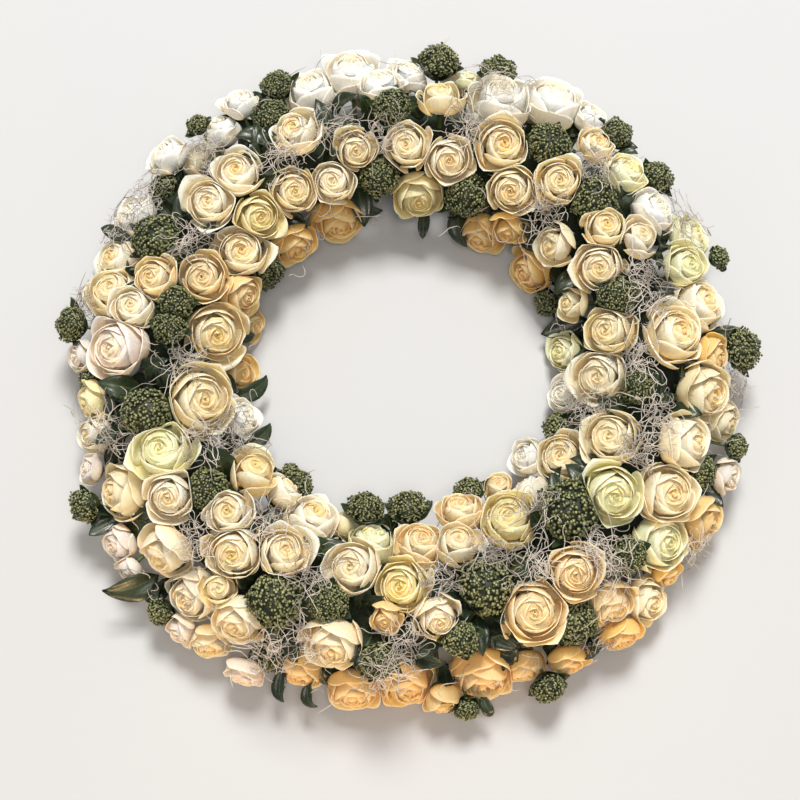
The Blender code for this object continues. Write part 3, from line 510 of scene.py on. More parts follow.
# %% Soft mottling
FINE_PATCHES = 6.0
PATCH_SHADE = (0.62, 0.52, 0.42, 1.0)


def make_mottling():
    """A colour with darker and lighter patches of two sizes."""
    numbers = [("Scale", "NodeSocketFloat"), ("Strength", "NodeSocketFloat")]
    group, start, end = new_group(
        "mottling", [("Color", "NodeSocketColor"), ("Vector", "NodeSocketVector"), *numbers],
        [("Color", "NodeSocketColor"), ("Patches", "NodeSocketFloat")],
    )
    vector, scale = start.outputs["Vector"], start.outputs["Scale"]
    broad = add_node(group, "ShaderNodeTexNoise", {"Vector": vector, "Scale": scale})
    fine_scale = arithmetic(group, "MULTIPLY", scale, FINE_PATCHES)
    fine = add_node(group, "ShaderNodeTexNoise", {"Vector": vector, "Scale": fine_scale})
    both = arithmetic(group, "ADD", broad.outputs["Fac"], fine.outputs["Fac"])
    patches = ramped(group, both, 0.7, 1.3)
    between = arithmetic(group, "SUBTRACT", 1.0, patches)
    shade = arithmetic(group, "MULTIPLY", between, start.outputs["Strength"])
    darker = blended(group, 1.0, start.outputs["Color"], PATCH_SHADE, "MULTIPLY")
    group.links.new(blended(group, shade, start.outputs["Color"], darker), end.inputs["Color"])
    group.links.new(patches, end.inputs["Patches"])
    return group


# %% Veins along a petal
def make_veins():
    """Fine ridges that run from a petal's foot to its rim."""
    group, start, end = new_group(
        "fine_veins",
        [("Across", "NodeSocketFloat"), ("Along", "NodeSocketFloat"), ("Count", "NodeSocketFloat")],
        [("Height", "NodeSocketFloat")],
    )
    spread = arithmetic(group, "MULTIPLY", start.outputs["Across"], start.outputs["Count"])
    place = add_node(group, "ShaderNodeCombineXYZ", {"X": spread, "Y": start.outputs["Along"]})
    inputs = {"Vector": place.outputs[0], "Scale": 1.6, "Detail": 3.0, "Distortion": 0.4}
    noise = add_node(group, "ShaderNodeTexNoise", inputs)
    group.links.new(ramped(group, noise.outputs["Fac"], 0.3, 0.7), end.inputs["Height"])
    return group


MOTTLING = make_mottling()
VEINS = make_veins()


# %% A Principled material to start each finish from
def new_finish(name, roughness, **constants):
    """A material with its tree, its Principled node and its Object coordinates."""
    material = bpy.data.materials.new(name)
    material.use_nodes = True
    tree = material.node_tree
    shader = tree.nodes["Principled BSDF"]
    shader.inputs["Roughness"].default_value = roughness
    for socket, value in constants.items():
        shader.inputs[socket.replace("_", " ")].default_value = value
    place = add_node(tree, "ShaderNodeTexCoord").outputs["Object"]
    return material, tree, shader, place


def paint(tree, shader, colour, place, scale, strength, roughness=None):
    """Mottles the colour onto the shader, with rougher patches if asked; gives back the patches."""
    inputs = {"Color": colour, "Vector": place, "Scale": scale, "Strength": strength}
    node = add_node(tree, "ShaderNodeGroup", inputs, node_tree=MOTTLING)
    tree.links.new(node.outputs["Color"], shader.inputs["Base Color"])
    patches = node.outputs["Patches"]
    if roughness:
        tree.links.new(ramped(tree, patches, 0.0, 1.0, *roughness), shader.inputs["Roughness"])
    return patches


def add_bump(tree, shader, height, distance, strength=1.0):
    """A Bump node on the shader."""
    bump = add_node(tree, "ShaderNodeBump", {"Height": height, "Distance": distance, "Strength": strength})
    tree.links.new(bump.outputs["Normal"], shader.inputs["Normal"])


def split_attribute(tree, name):
    """The three numbers of a vector attribute."""
    attribute = add_node(tree, "ShaderNodeAttribute", attribute_name=name)
    return add_node(tree, "ShaderNodeSeparateXYZ", {0: attribute.outputs["Vector"]}).outputs[:]

# %% [markdown]
# Rose petals are thin and full of light. The colour of each petal goes from the rose's own warm heart to
# its paler outer tint. The foot of every petal is warmer than its blade, partly its own colour and partly
# painted glow of the light that scatters in the grooves, and its rim is the palest, partly its own colour
# and partly painted light on the edges.

# %% Petal finish
VEINS_ACROSS = 9.0
VEIN_COLOUR = (0.70, 0.46, 0.16, 1.0)
# partly the petals' own paler edge, partly painted light on rims that turn away from the lamps
PALE_RIM_AND_PAINTED_LIGHT = (0.96, 0.91, 0.82, 1.0)


def make_petal_finish():
    """Thin petals that let light through, warmest at the heart and palest at the rim."""
    material, tree, shader, place = new_finish(
        "rose_petals", 0.5,
        Subsurface_Weight=0.55, Subsurface_Scale=0.006, Sheen_Weight=0.08, Sheen_Roughness=0.5,
    )
    shader.inputs["Subsurface Radius"].default_value = (1.0, 0.58, 0.27)
    across, along, shell = split_attribute(tree, "petal")
    tint = add_node(tree, "ShaderNodeAttribute", attribute_name="tint").outputs["Color"]
    heart = add_node(tree, "ShaderNodeAttribute", attribute_name="heart").outputs["Color"]
    inwards = ramped(tree, shell, 0.05, 0.60, 1.0, 0.0)
    # the foot of each petal is warmer: partly the petal's own colour, partly a painted glow of the light that
    # scatters between the petals in the grooves
    foot = ramped(tree, along, 0.25, 0.95, 0.50, 0.0)
    warm = arithmetic(tree, "MAXIMUM", inwards, foot)
    colour = blended(tree, warm, tint, heart)
    inputs = {"Across": across, "Along": along, "Count": VEINS_ACROSS}
    veins = add_node(tree, "ShaderNodeGroup", inputs, node_tree=VEINS).outputs["Height"]
    shade = arithmetic(tree, "MULTIPLY", arithmetic(tree, "SUBTRACT", 1.0, veins), 0.04)
    colour = blended(tree, shade, colour, VEIN_COLOUR)
    # the rim is mixed towards a paler colour: partly its own paler edge, partly painted light that brightens
    # rims the lamps leave darker
    rim = ramped(tree, along, 0.86, 1.0, 0.0, 0.28)
    colour = blended(tree, rim, colour, PALE_RIM_AND_PAINTED_LIGHT)
    paint(tree, shader, colour, place, 55.0, 0.10, (0.44, 0.60))
    add_bump(tree, shader, veins, 0.0003, 0.5)
    return material


PETAL_FINISH = make_petal_finish()

# %% [markdown]
# Skimmia leaves are thick and glossy, with a pale rib down the middle and faint side veins. The buds are
# matt, and each one is paler at its tip and darker on its side towards the dome, which is partly their own
# colour and partly painted shade where the buds shade each other. The moss is dry and grey, in patches
# from brown grey to nearly white.

# %% Leaf finish
def make_leaf_finish():
    """Dark gloss, with a pale rib and faint side veins that slant towards the tip."""
    material, tree, shader, place = new_finish("glossy_leaves", 0.36, Coat_Weight=0.18, Coat_Roughness=0.25)
    across, along, tone = split_attribute(tree, "blade")
    colour = blended(tree, tone, (0.007, 0.017, 0.008, 1.0), (0.050, 0.085, 0.022, 1.0))
    off_rib = arithmetic(tree, "ABSOLUTE", across, 0.0)
    rib = ramped(tree, off_rib, 0.02, 0.10, 0.40, 0.0)
    colour = blended(tree, rib, colour, (0.115, 0.160, 0.055, 1.0))
    slant = arithmetic(tree, "SUBTRACT", arithmetic(tree, "MULTIPLY", along, 2.2), off_rib)
    wave = add_node(tree, "ShaderNodeMath", {0: arithmetic(tree, "MULTIPLY", slant, 42.0)}, operation="SINE")
    side_veins = ramped(tree, wave.outputs[0], 0.75, 1.0)
    colour = blended(tree, arithmetic(tree, "MULTIPLY", side_veins, 0.25), colour, (0.08, 0.12, 0.05, 1.0))
    paint(tree, shader, colour, place, 70.0, 0.45, (0.26, 0.44))
    ridges = arithmetic(tree, "ADD", arithmetic(tree, "MULTIPLY", side_veins, 0.4), rib)
    add_bump(tree, shader, ridges, 0.0004, 0.6)
    return material


# %% Bud finish
def make_bud_finish():
    """Matt green buds of many tones, paler at the tip and darker towards the dome, partly as painted shade.
    """
    material, tree, shader, place = new_finish("skimmia_buds", 0.62)
    tone, tip, _ = split_attribute(tree, "bud")
    dark = blended(tree, tone, (0.014, 0.022, 0.008, 1.0), (0.050, 0.064, 0.021, 1.0))
    pale = blended(tree, tone, (0.11, 0.135, 0.050, 1.0), (0.54, 0.58, 0.29, 1.0))
    # dark on the side of a bud that faces the dome, pale at its tip: partly the bud's own colour, partly
    # painted shade between the buds
    colour = blended(tree, ramped(tree, tip, 0.40, 1.0), dark, pale)
    paint(tree, shader, colour, place, 160.0, 0.5)
    return material


# %% Stem, moss, foam and tray finishes
def make_stem_finish():
    """Green bark with darker patches that stand up a little."""
    material, tree, shader, place = new_finish("green_stems", 0.5)
    patches = paint(tree, shader, (0.10, 0.15, 0.05, 1.0), place, 140.0, 0.7)
    add_bump(tree, shader, patches, 0.0002)
    return material


def make_moss_finish():
    """Dry grey threads, from brown grey to nearly white."""
    material, tree, shader, place = new_finish("dry_moss", 0.85, Sheen_Weight=0.3, Sheen_Roughness=0.6)
    noise = add_node(tree, "ShaderNodeTexNoise", {"Vector": place, "Scale": 38.0, "Detail": 3.0})
    share = ramped(tree, noise.outputs["Fac"], 0.32, 0.66)
    colour = blended(tree, share, (0.24, 0.215, 0.19, 1.0), (0.70, 0.66, 0.61, 1.0))
    paint(tree, shader, colour, place, 300.0, 0.5)
    return material


def make_foam_finish():
    """Wet green foam with fine open pores, its dark green partly painted shade, darkest in the pits."""
    material, tree, shader, place = new_finish("wet_floral_foam", 0.9)
    pores = add_node(tree, "ShaderNodeTexVoronoi", {"Vector": place, "Scale": 900.0})
    pits = ramped(tree, pores.outputs["Distance"], 0.1, 0.6)
    # dark partly as the wet foam's own green and partly as painted shade of the gaps; darkest in the pits, as
    # painted shade in the pores
    colour = blended(tree, pits, (0.004, 0.010, 0.005, 1.0), (0.014, 0.030, 0.014, 1.0))
    paint(tree, shader, colour, place, 60.0, 0.6)
    add_bump(tree, shader, pits, 0.0004)
    return material


def make_tray_finish():
    """Dark green moulded plastic with a fine grain."""
    material, tree, shader, place = new_finish("moulded_tray", 0.42)
    grain = add_node(tree, "ShaderNodeTexNoise", {"Vector": place, "Scale": 1400.0, "Detail": 2.0})
    paint(tree, shader, (0.018, 0.038, 0.022, 1.0), place, 25.0, 0.4, (0.36, 0.52))
    add_bump(tree, shader, grain.outputs["Fac"], 0.0001, 0.4)
    return material


LEAF_FINISH = make_leaf_finish()
BUD_FINISH = make_bud_finish()
STEM_FINISH = make_stem_finish()
MOSS_FINISH = make_moss_finish()
for name, finish in (("foam_ring", make_foam_finish()), ("tray", make_tray_finish())):
    NODES[name].data.materials.clear()
    NODES[name].data.materials.append(finish)
print("finishes:", [material.name for material in bpy.data.materials])

# %% [markdown]
# Every new piece is one mesh whose place is in its vertices. It rides on the wreath, takes the finish that
# it is given, and stands for the node that it replaces.

# %% Make a piece
def new_piece(name, mesh, finish, nodes=()):
    """An object for a finished mesh, moved to the wreath's middle and shaded smooth."""
    mesh.transform(Matrix.Translation(MIDDLE))
    mesh.name = name
    mesh.shade_smooth()
    mesh.materials.append(finish)
    piece = bpy.data.objects.new(name, mesh)
    bpy.context.scene.collection.objects.link(piece)
    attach(piece, "root")
    if nodes:
        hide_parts(*nodes)
    return piece


def one_mesh(parts):
    """One mesh from several, each given as a flat mesh, its bent places and its attributes."""
    bm = bmesh.new()
    for flat, places, _ in parts:
        bent = flat.copy()
        bent.vertices.foreach_set("co", np.ascontiguousarray(places, dtype=np.float32).ravel())
        bm.from_mesh(bent)
        bpy.data.meshes.remove(bent)
    mesh = as_mesh(bm, "joined")
    for name in parts[0][2]:
        values = np.concatenate([attributes[name] for _, _, attributes in parts]).astype(np.float32)
        is_colour = values.shape[1] == 4
        layer = mesh.attributes.new(name, "FLOAT_COLOR" if is_colour else "FLOAT_VECTOR", "POINT")
        layer.data.foreach_set("color" if is_colour else "vector", values.ravel())
    return mesh


def thickened(piece, thickness):
    """Gives a piece of thin sheets a real thickness."""
    solid = piece.modifiers.new("thickness", "SOLIDIFY")
    solid.thickness = thickness
    solid.offset = 0.0


def axes_of(direction, guide):
    """Two directions across a third, as the rows of a turn with the direction last."""
    across = unit(np.cross(guide, direction))
    return np.array([across, np.cross(direction, across), direction])


def grow_pieces(kind, grow, prefix, finish, slot):
    """One piece for each node with heads of a kind, each head grown by the function that is given."""
    pieces = []
    for node in FLOWER_NODES:
        grown = [grow(bloom) for bloom in BLOOMS if bloom.kind == kind and bloom.node == node]
        if grown:
            pieces.append(new_piece(prefix + node, one_mesh(grown), finish, [node]))
    print(slot, "in", len(pieces), "pieces")
    return pieces


# %% Flat grids to bend
def flat_grids(name, shapes):
    """A mesh of separate grids from -1 to 1, each at the height of its own number."""
    bm = bmesh.new()
    for number, (across, along) in enumerate(shapes):
        place = Matrix.Translation((0, 0, number))
        bmesh.ops.create_grid(bm, x_segments=across, y_segments=along, size=1.0, matrix=place)
    return as_mesh(bm, name)


def corners_of(mesh):
    """The places of a mesh's vertices, one row each."""
    places = np.empty(len(mesh.vertices) * 3)
    mesh.vertices.foreach_get("co", places)
    return places.reshape(-1, 3)


def read_grids(mesh):
    """For each vertex of flat grids: across from -1 to 1, along from 0 to 1, and its grid's number."""
    across, along, number = corners_of(mesh).T
    return across, (along + 1) / 2, np.rint(number).astype(int)

# %% [markdown]
# ## Petals
# A rose petal is a shallow spoon: narrow at its foot, broad above the belly, with a thin rim that turns
# outwards. One flat grid for each petal is enough, because a formula bends it. Each grid is made at its own
# height, so a vertex starts as (across, along, number of the petal), and the formula reads all three from
# its place.

# %% Flat petals, one grid each
# Cells across and along each petal
INNER_PETALS = (5, 3)
MIDDLE_PETALS = (6, 4)
OUTER_PETALS = (11, 7)
HEART_FLOOR = (10, 2)


def flat_petals(name, inner, middle, outer):
    """The flat petals of a rose and their number; one more grid closes the heart between them."""
    shapes = [INNER_PETALS] * inner + [MIDDLE_PETALS] * middle + [OUTER_PETALS] * outer + [HEART_FLOOR]
    return flat_grids(name, shapes), len(shapes) - 1


# How many inner, middle and outer petals each kind of rose has
FLAT_ROSES = {
    "bud": flat_petals("flat_bud", 3, 4, 4),
    "rose": flat_petals("flat_rose", 4, 8, 6),
    "full": flat_petals("flat_full_rose", 5, 8, 7),
}
for kind, (mesh, count) in FLAT_ROSES.items():
    print(kind, "has", count, "petals and", len(mesh.polygons), "faces")


# %% Bend them into a rose
GOLDEN_ANGLE = math.pi * (3 - math.sqrt(5))
ROSE_REACH = 1.26


def smooth_step(low, high, value):
    """0 below the low value, 1 above the high one, and an even curve between them."""
    share = np.clip((value - low) / (high - low), 0, 1)
    return share * share * (3 - 2 * share)


def mixed(low, high, share):
    """The value between two others."""
    return low + (high - low) * share


def bent_petals(flat, count, openness, draw):
    """Places of a rose's vertices in head radii, with their (across, along, shell) for the material."""
    across, along, number = read_grids(flat)
    closing = number == count
    shell = np.where(closing, 0.72 * (1 - along), number / (count - 1))

    own = {}
    for name in ("turn", "lean", "rim", "tip", "wave", "fold"):
        own[name] = draw.uniform(-1, 1, count + 1)[number]
    outer = smooth_step(0.62, 1.0, shell)
    loose = openness * outer

    # the outline: a narrow foot, broad shoulders, and corners pulled down into a round rim
    height = along * (1 - mixed(0.26, 0.40, outer) * np.abs(across) ** 2.4)
    half_width = mixed(1.9, mixed(0.92, 1.02, openness), shell ** 0.5) * (1 + 0.08 * own["wave"])
    width = 0.42 + 0.58 * np.sin(math.pi * np.clip(0.08 + 0.62 * along, 0, 1))
    turn = GOLDEN_ANGLE * number + 0.22 * own["turn"] + across * half_width * width

    # the side view of a petal, as a curve from its foot over the belly to the rim
    rim_out = mixed(0.02, mixed(0.70, 0.84, openness), shell ** mixed(1.15, 1.0, openness))
    rim_out = rim_out + mixed(0.02, 0.27, openness) * outer ** 1.6 * (1 + 0.5 * own["rim"])
    rim_up = mixed(mixed(0.86, 0.66, openness), mixed(0.66, 0.60, openness), shell)
    droop = mixed(0.02, 0.28, openness) * outer ** 1.3 * (1 + 0.35 * own["lean"])
    rim_up = rim_up - droop + 0.03 * own["rim"]
    belly = mixed(0.10, mixed(0.90, 0.95, openness), shell ** 0.75)
    foot_up = mixed(-0.20, -0.62, smooth_step(0.2, 0.7, shell))
    foot_out = mixed(0.0, 0.16, shell)
    left = 1 - height
    pull = [left ** 3, 3 * height * left ** 2, 3 * height ** 2 * left, height ** 3]
    full = mixed(1.02, 1.34, shell)
    out = pull[0] * foot_out + pull[1] * belly * full + pull[2] * belly * 1.06 + pull[3] * rim_out
    up = pull[0] * foot_up + pull[1] * (foot_up + 0.14)
    up = up + pull[2] * mixed(foot_up, rim_up, 0.66) + pull[3] * rim_up

    # the thin rim turns outwards, comes to a soft point in the middle and waves a little
    edge = smooth_step(0.72, 1.0, height / (1 - 0.05 * np.abs(across)))
    roll = (0.015 + 0.035 * shell + 0.15 * loose * (1 + 0.6 * own["rim"])) * edge ** 1.5
    point = mixed(0.02, 0.14, outer) * np.exp(-((across - 0.3 * own["tip"]) / 0.20) ** 2) * edge
    wave = mixed(0.010, 0.030, outer) * np.sin(3.3 * across + 3 * own["wave"]) * edge
    ripple = 0.012 * outer * np.sin(9.0 * across + 5 * own["fold"]) * edge
    side = mixed(0.0, 0.10, loose) * smooth_step(0.6, 1.0, np.abs(across)) * smooth_step(0.3, 0.8, along)
    out = out + roll + point + wave + side
    up = up - 0.8 * roll * edge - 0.2 * point + 0.6 * wave + ripple
    crease = 0.035 * outer * own["fold"] * np.cos(2.2 * across) * np.sin(math.pi * along)
    out = out * (1 + mixed(0.14, 0.05, shell) * across) + crease

    # the last grid lies flat under the heart and closes it
    out = np.where(closing, rim_out * 0.95, out)
    up = np.where(closing, rim_up - 0.19, up)
    turn = np.where(closing, math.pi * across, turn)
    along = np.where(closing, 0.1, along)
    out = out * ROSE_REACH / np.percentile(out, 98)
    places = np.stack([out * np.cos(turn), out * np.sin(turn), up], axis=1)
    return places, np.stack([across, along, shell], axis=1)

# %% [markdown]
# The roses aren't one colour: cold white at the far side, yellow hearts, peach where they look to the
# front, and some that stay green or blush pink. The white at the far side, and the peach and apricot of the
# roses that look to the front or down, are partly their own colours and partly painted light: cool where
# the light falls from above, warm at the front. Each tint is an outer colour and a heart colour, and the
# pixels name the roses that have it. The rest lie between cream and ivory.

# %% Rose tints
# Each tint's outer colour and heart colour; white, peach and apricot are partly painted light
ROSE_COLOURS = {
    "cream": ((0.94, 0.76, 0.44), (0.93, 0.55, 0.15)),
    "ivory": ((0.94, 0.85, 0.65), (0.93, 0.65, 0.25)),
    "white": ((0.93, 0.88, 0.76), (0.92, 0.80, 0.54)),
    "yellow": ((0.94, 0.79, 0.40), (0.92, 0.57, 0.12)),
    "peach": ((0.93, 0.59, 0.25), (0.90, 0.44, 0.11)),
    "pale_peach": ((0.93, 0.70, 0.39), (0.91, 0.53, 0.18)),
    "apricot": ((0.95, 0.54, 0.18), (0.93, 0.42, 0.08)),
    "green": ((0.91, 0.85, 0.50), (0.87, 0.74, 0.27)),
    "pink": ((0.93, 0.77, 0.63), (0.91, 0.66, 0.40)),
}
ROSE_TINTS_AND_PAINTED_LIGHT = {
    # white: partly the roses' own colour, partly painted cool light on the far side
    "white": (
        (314, 91), (350, 80), (378, 88), (409, 77), (222, 130), (244, 108), (169, 160), (133, 220),
        (242, 416), (590, 120), (655, 212), (563, 397), (530, 459), (498, 106), (552, 107),
    ),
    # peach: partly the roses' own colour, partly painted warm light on roses that look to the front
    "peach": (
        (243, 288), (248, 328), (238, 372), (221, 643), (386, 615), (305, 672), (354, 684), (412, 680),
        (443, 694), (487, 665), (520, 668), (701, 515),
    ),
    # apricot: partly the roses' own colour, partly painted warm light on roses that look down to the front
    "apricot": (
        (337, 217), (296, 242), (535, 275), (480, 228), (513, 228), (668, 573), (618, 634), (568, 660),
        (712, 363),
    ),
    "pale_peach": (
        (421, 543), (461, 514), (506, 490), (203, 278), (155, 281), (575, 572), (532, 610), (610, 603),
    ),
    "yellow": ((258, 218), (402, 586), (417, 192), (98, 400), (622, 330), (513, 520)),
    "green": (
        (162, 452), (218, 580), (383, 543), (608, 495), (657, 540), (690, 267), (685, 240), (568, 352),
        (625, 174), (466, 80),
    ),
    "pink": ((83, 358), (90, 472), (122, 542), (130, 568), (182, 628), (250, 667), (722, 472), (124, 347)),
}
TINT_REACH = 7


def colours_of(bloom, draw):
    """The outer and heart colours of a rose, a little different on every one."""
    name = "cream"
    to_ivory = draw.uniform(0, 1)
    if len(bloom.row) > 3:
        # the white, peach and apricot tints hold painted light as well as the roses' own colours
        pixels = {(x, y): tint for tint, places in ROSE_TINTS_AND_PAINTED_LIGHT.items() for x, y in places}
        nearest = min(pixels, key=lambda pixel: math.dist(pixel, bloom.row[:2]))
        if math.dist(nearest, bloom.row[:2]) < TINT_REACH:
            name = pixels[nearest]
    shade = 1 + 0.05 * draw.uniform(-1, 1)
    outer, heart = (np.array(colour) * shade for colour in ROSE_COLOURS[name])
    if name == "cream":
        outer = mixed(outer, np.array(ROSE_COLOURS["ivory"][0]), to_ivory)
    heart = mixed(outer, heart, draw.uniform(0.55, 1.0))
    return np.append(outer, 1.0), np.append(heart, 1.0)


# %% Grow the roses
PETAL_THICKNESS = 0.00035
PETAL_OFF_FLOOR = 0.0012
HIDDEN_OPENNESS = 0.55
BUD_WIDTH = 34
BUD_OPENNESS = 0.42
FULL_OPENNESS = 0.58


def rose_axes(bloom):
    """The turn of a rose: it looks where it faces, and each one is turned round its own way."""
    return axes_of(bloom.facing, np.array([math.cos(bloom.number), math.sin(bloom.number), 0.3]))


def grown_rose(bloom):
    """The flat mesh, bent places and attributes of one rose."""
    draw = np.random.default_rng(1000 + bloom.number)
    openness = bloom.row[5] if len(bloom.row) > 3 else HIDDEN_OPENNESS
    kind = "full" if openness > FULL_OPENNESS else "rose"
    if bloom.row[2] < BUD_WIDTH or openness < BUD_OPENNESS:
        kind = "bud"
    flat, count = FLAT_ROSES[kind]
    places, petal = bent_petals(flat, count, openness, draw)
    places = pressed(bloom, bloom.place + bloom.radius * places @ rose_axes(bloom))
    places = off_floor(places, PETAL_OFF_FLOOR)
    outer, heart = colours_of(bloom, draw)
    everywhere = np.ones((len(places), 1))
    return flat, places, {"petal": petal, "tint": everywhere * outer, "heart": everywhere * heart}


for piece in grow_pieces("rose", grown_rose, "petals_of_", PETAL_FINISH, "petals"):
    thickened(piece, PETAL_THICKNESS)
print("roses:", sum(bloom.kind == "rose" for bloom in BLOOMS))

# %% [markdown]
# ## Skimmia heads
# A skimmia head is a dome of hundreds of small closed buds on short branches. A bud is only a few pixels
# wide, so a coarse ball is enough for each, and they are spread over the dome by the golden angle, like
# seeds. A lumpy core of the same dark green closes the dome behind them, in the darkest bud colour as
# painted shade for the depths between the buds.

# %% Loose buds, one ball each
BUD_SPACING = 4.0
BUD_COUNTS = (90, 170, 270, 400, 560)


def loose_buds(count):
    """A row of small balls; each one's number can be read from its place. The core comes last."""
    bm = bmesh.new()
    for number in range(count):
        place = Matrix.Translation((BUD_SPACING * number, 0, 0))
        bmesh.ops.create_uvsphere(bm, u_segments=5, v_segments=2, radius=1.0, matrix=place)
    place = Matrix.Translation((BUD_SPACING * count, 0, 0))
    bmesh.ops.create_icosphere(bm, subdivisions=2, radius=1.0, matrix=place)
    return as_mesh(bm, "loose_buds")


LOOSE_BUDS = {count: loose_buds(count) for count in BUD_COUNTS}


# %% Grow the skimmia heads
DOME_DEPTH = 0.84
LOWEST_BUD = -0.42
BUD_AREA = 5.3
BUD_SPARE = 0.0006
BUD_OFF_FLOOR = 0.001
SKIMMIA_GUIDE = np.array([0.3, 0.2, 0.9])


def grown_skimmia(bloom):
    """The loose buds, their places on the dome and their tones."""
    draw = np.random.default_rng(2000 + bloom.number)
    dome_area = math.tau * (bloom.radius * 1000) ** 2 * (1 - LOWEST_BUD)
    count = min(BUD_COUNTS, key=lambda each: abs(each - dome_area / BUD_AREA))
    flat = LOOSE_BUDS[count]
    corners = corners_of(flat)
    number = np.rint(corners[:, 0] / BUD_SPACING).astype(int)
    ball = corners - np.outer(number, (BUD_SPACING, 0, 0))

    # spread the buds over the dome, from its top down, a little uneven
    order = np.arange(count + 1)
    height = 1 - (1 - LOWEST_BUD) * (order + 0.5) / count + 0.02 * draw.normal(size=count + 1)
    height = np.clip(height, LOWEST_BUD, 1)
    turn = GOLDEN_ANGLE * order + 0.12 * draw.normal(size=count + 1)
    ring = np.sqrt(1 - height ** 2)
    ways = np.stack([ring * np.cos(turn), ring * np.sin(turn), height], axis=1)
    lumps = sum(np.sin(7 * ways @ unit(draw.normal(size=3)) + draw.uniform(0, 6)) for _ in range(3))
    reach = 0.96 + 0.05 * lumps + 0.055 * draw.normal(size=count + 1)
    size = 0.60 * math.sqrt(math.tau * (1 - LOWEST_BUD) / count) * draw.uniform(0.80, 1.15, count + 1)
    middles = ways * reach[:, None]
    stretch = 1 + 0.25 * (ball * ways[number]).sum(axis=1, keepdims=True)
    places = middles[number] + ball * size[number, None] * stretch
    in_core = number == count
    places[in_core] = ball[in_core] * 0.90
    places = places * (1.0, 1.0, DOME_DEPTH) + (0.0, 0.0, 0.06)

    tone = draw.beta(1.3, 1.6, count + 1)[number]
    tip = 0.5 + 0.5 * (ball * ways[number]).sum(axis=1)
    # the core gets the darkest bud colour: painted shade for the depths of the head behind the buds
    tone[in_core] = 0.0
    tip[in_core] = 0.0
    turned = axes_of(bloom.facing, SKIMMIA_GUIDE)
    places = off_floor(pressed(bloom, bloom.place + bloom.radius * places @ turned, BUD_SPARE), BUD_OFF_FLOOR)
    return flat, places, {"bud": np.stack([tone, tip, height[number]], axis=1)}


grow_pieces("skimmia", grown_skimmia, "buds_of_", BUD_FINISH, "skimmia")

# %% [markdown]
# ## Leaves
# A leaf comes up out of the gap between the heads and bends over to its tip. Its grid is bent along that
# path: folded a little at the rib, widest past the middle, and wavy at the edge. The heads push it aside
# where it would run into them.

# %% One blade
BLADE_CELLS = (4, 9)
BLADE_THICKNESS = 0.0005
BLADE_OFF_FLOOR = 0.002
BLADE_FOLD = 0.35
BESIDE_BLADES = 0.84
FLAT_BLADE = flat_grids("flat_blade", [BLADE_CELLS])
HEAD_PLACES = np.array([bloom.place for bloom in HEADS])
HEAD_SIZES = np.array([bloom.radius for bloom in HEADS])


def beside_heads(points, share, rounds=3):
    """The points moved out of every head, to this share of its radius from its middle."""
    points = points.copy()
    for _ in range(rounds):
        gap = points[:, None] - HEAD_PLACES[None]
        far = np.linalg.norm(gap, axis=2) + 1e-9
        short = np.clip(share * HEAD_SIZES - far, 0, None)
        deepest = short.argmax(axis=1)
        rows = np.arange(len(points))
        points += gap[rows, deepest] / far[rows, deepest, None] * short[rows, deepest, None]
    return points


def bent_path(start, bend, end, t):
    """Points on the curve that leaves its start towards the bend and comes from there to its end."""
    return (1 - t) ** 2 * start + 2 * t * (1 - t) * bend + t ** 2 * end


def grown_leaf(foot, bend, tip, width, tone, draw):
    """The flat blade bent along a path from foot to tip."""
    across, along, _ = read_grids(FLAT_BLADE)
    t = along[:, None]
    path = bent_path(foot, bend, tip, t)
    way = unit(2 * (1 - t) * (bend - foot) + 2 * t * (tip - bend))
    outward = unit(round_core(path)[1] + BACK)
    side = unit(np.cross(way, outward))
    above = np.cross(side, way)
    half = width / 2 * np.clip(np.sin(math.pi * np.clip(along, 0, 1) ** 0.85), 0, 1) ** 0.95 + 0.0004
    wave = 0.06 * width * np.sin(9 * along + draw.uniform(0, 6)) * np.abs(across) ** 2
    lift = BLADE_FOLD * half * np.abs(across) ** 1.3 + wave
    places = path + side * (across * half)[:, None] + above * lift[:, None]
    places = off_floor(beside_heads(places, BESIDE_BLADES), BLADE_OFF_FLOOR)
    blade = np.stack([across, along, np.full(len(along), tone)], axis=1)
    return FLAT_BLADE, places, {"blade": blade}


# %% Grow the leaves
GAP_LEAVES = 128
GAP_DEPTH = 0.058
COLLAR_LEAVES = 4
PALE_TONE = 0.9
PALE_REACH = 12
LEAST_LEAF_WIDTH = 0.011
TRIES_PER_GAP = 30
LEAF_ROOM = 0.001
LEAF_LENGTH_PER_WIDTH = 0.0014
LEAF_TIP_LIFT = 0.003

# Pixels of the darkest gaps, each of which gets two more leaves
DEEP_GAPS = (
    (498, 638), (508, 650), (115, 454), (291, 641), (162, 589), (660, 243), (659, 262), (182, 215),
    (446, 675), (104, 513), (266, 142), (622, 198), (417, 107), (686, 366), (572, 130), (582, 338),
    (391, 526), (323, 551), (293, 220), (575, 415), (331, 672), (414, 653), (116, 412), (530, 238),
    (560, 271), (592, 642),
)

# Pixels near the tips of the leaves that look pale in the photograph
PALE_LEAVES = ((186, 182), (153, 380), (720, 335), (549, 643), (125, 240))


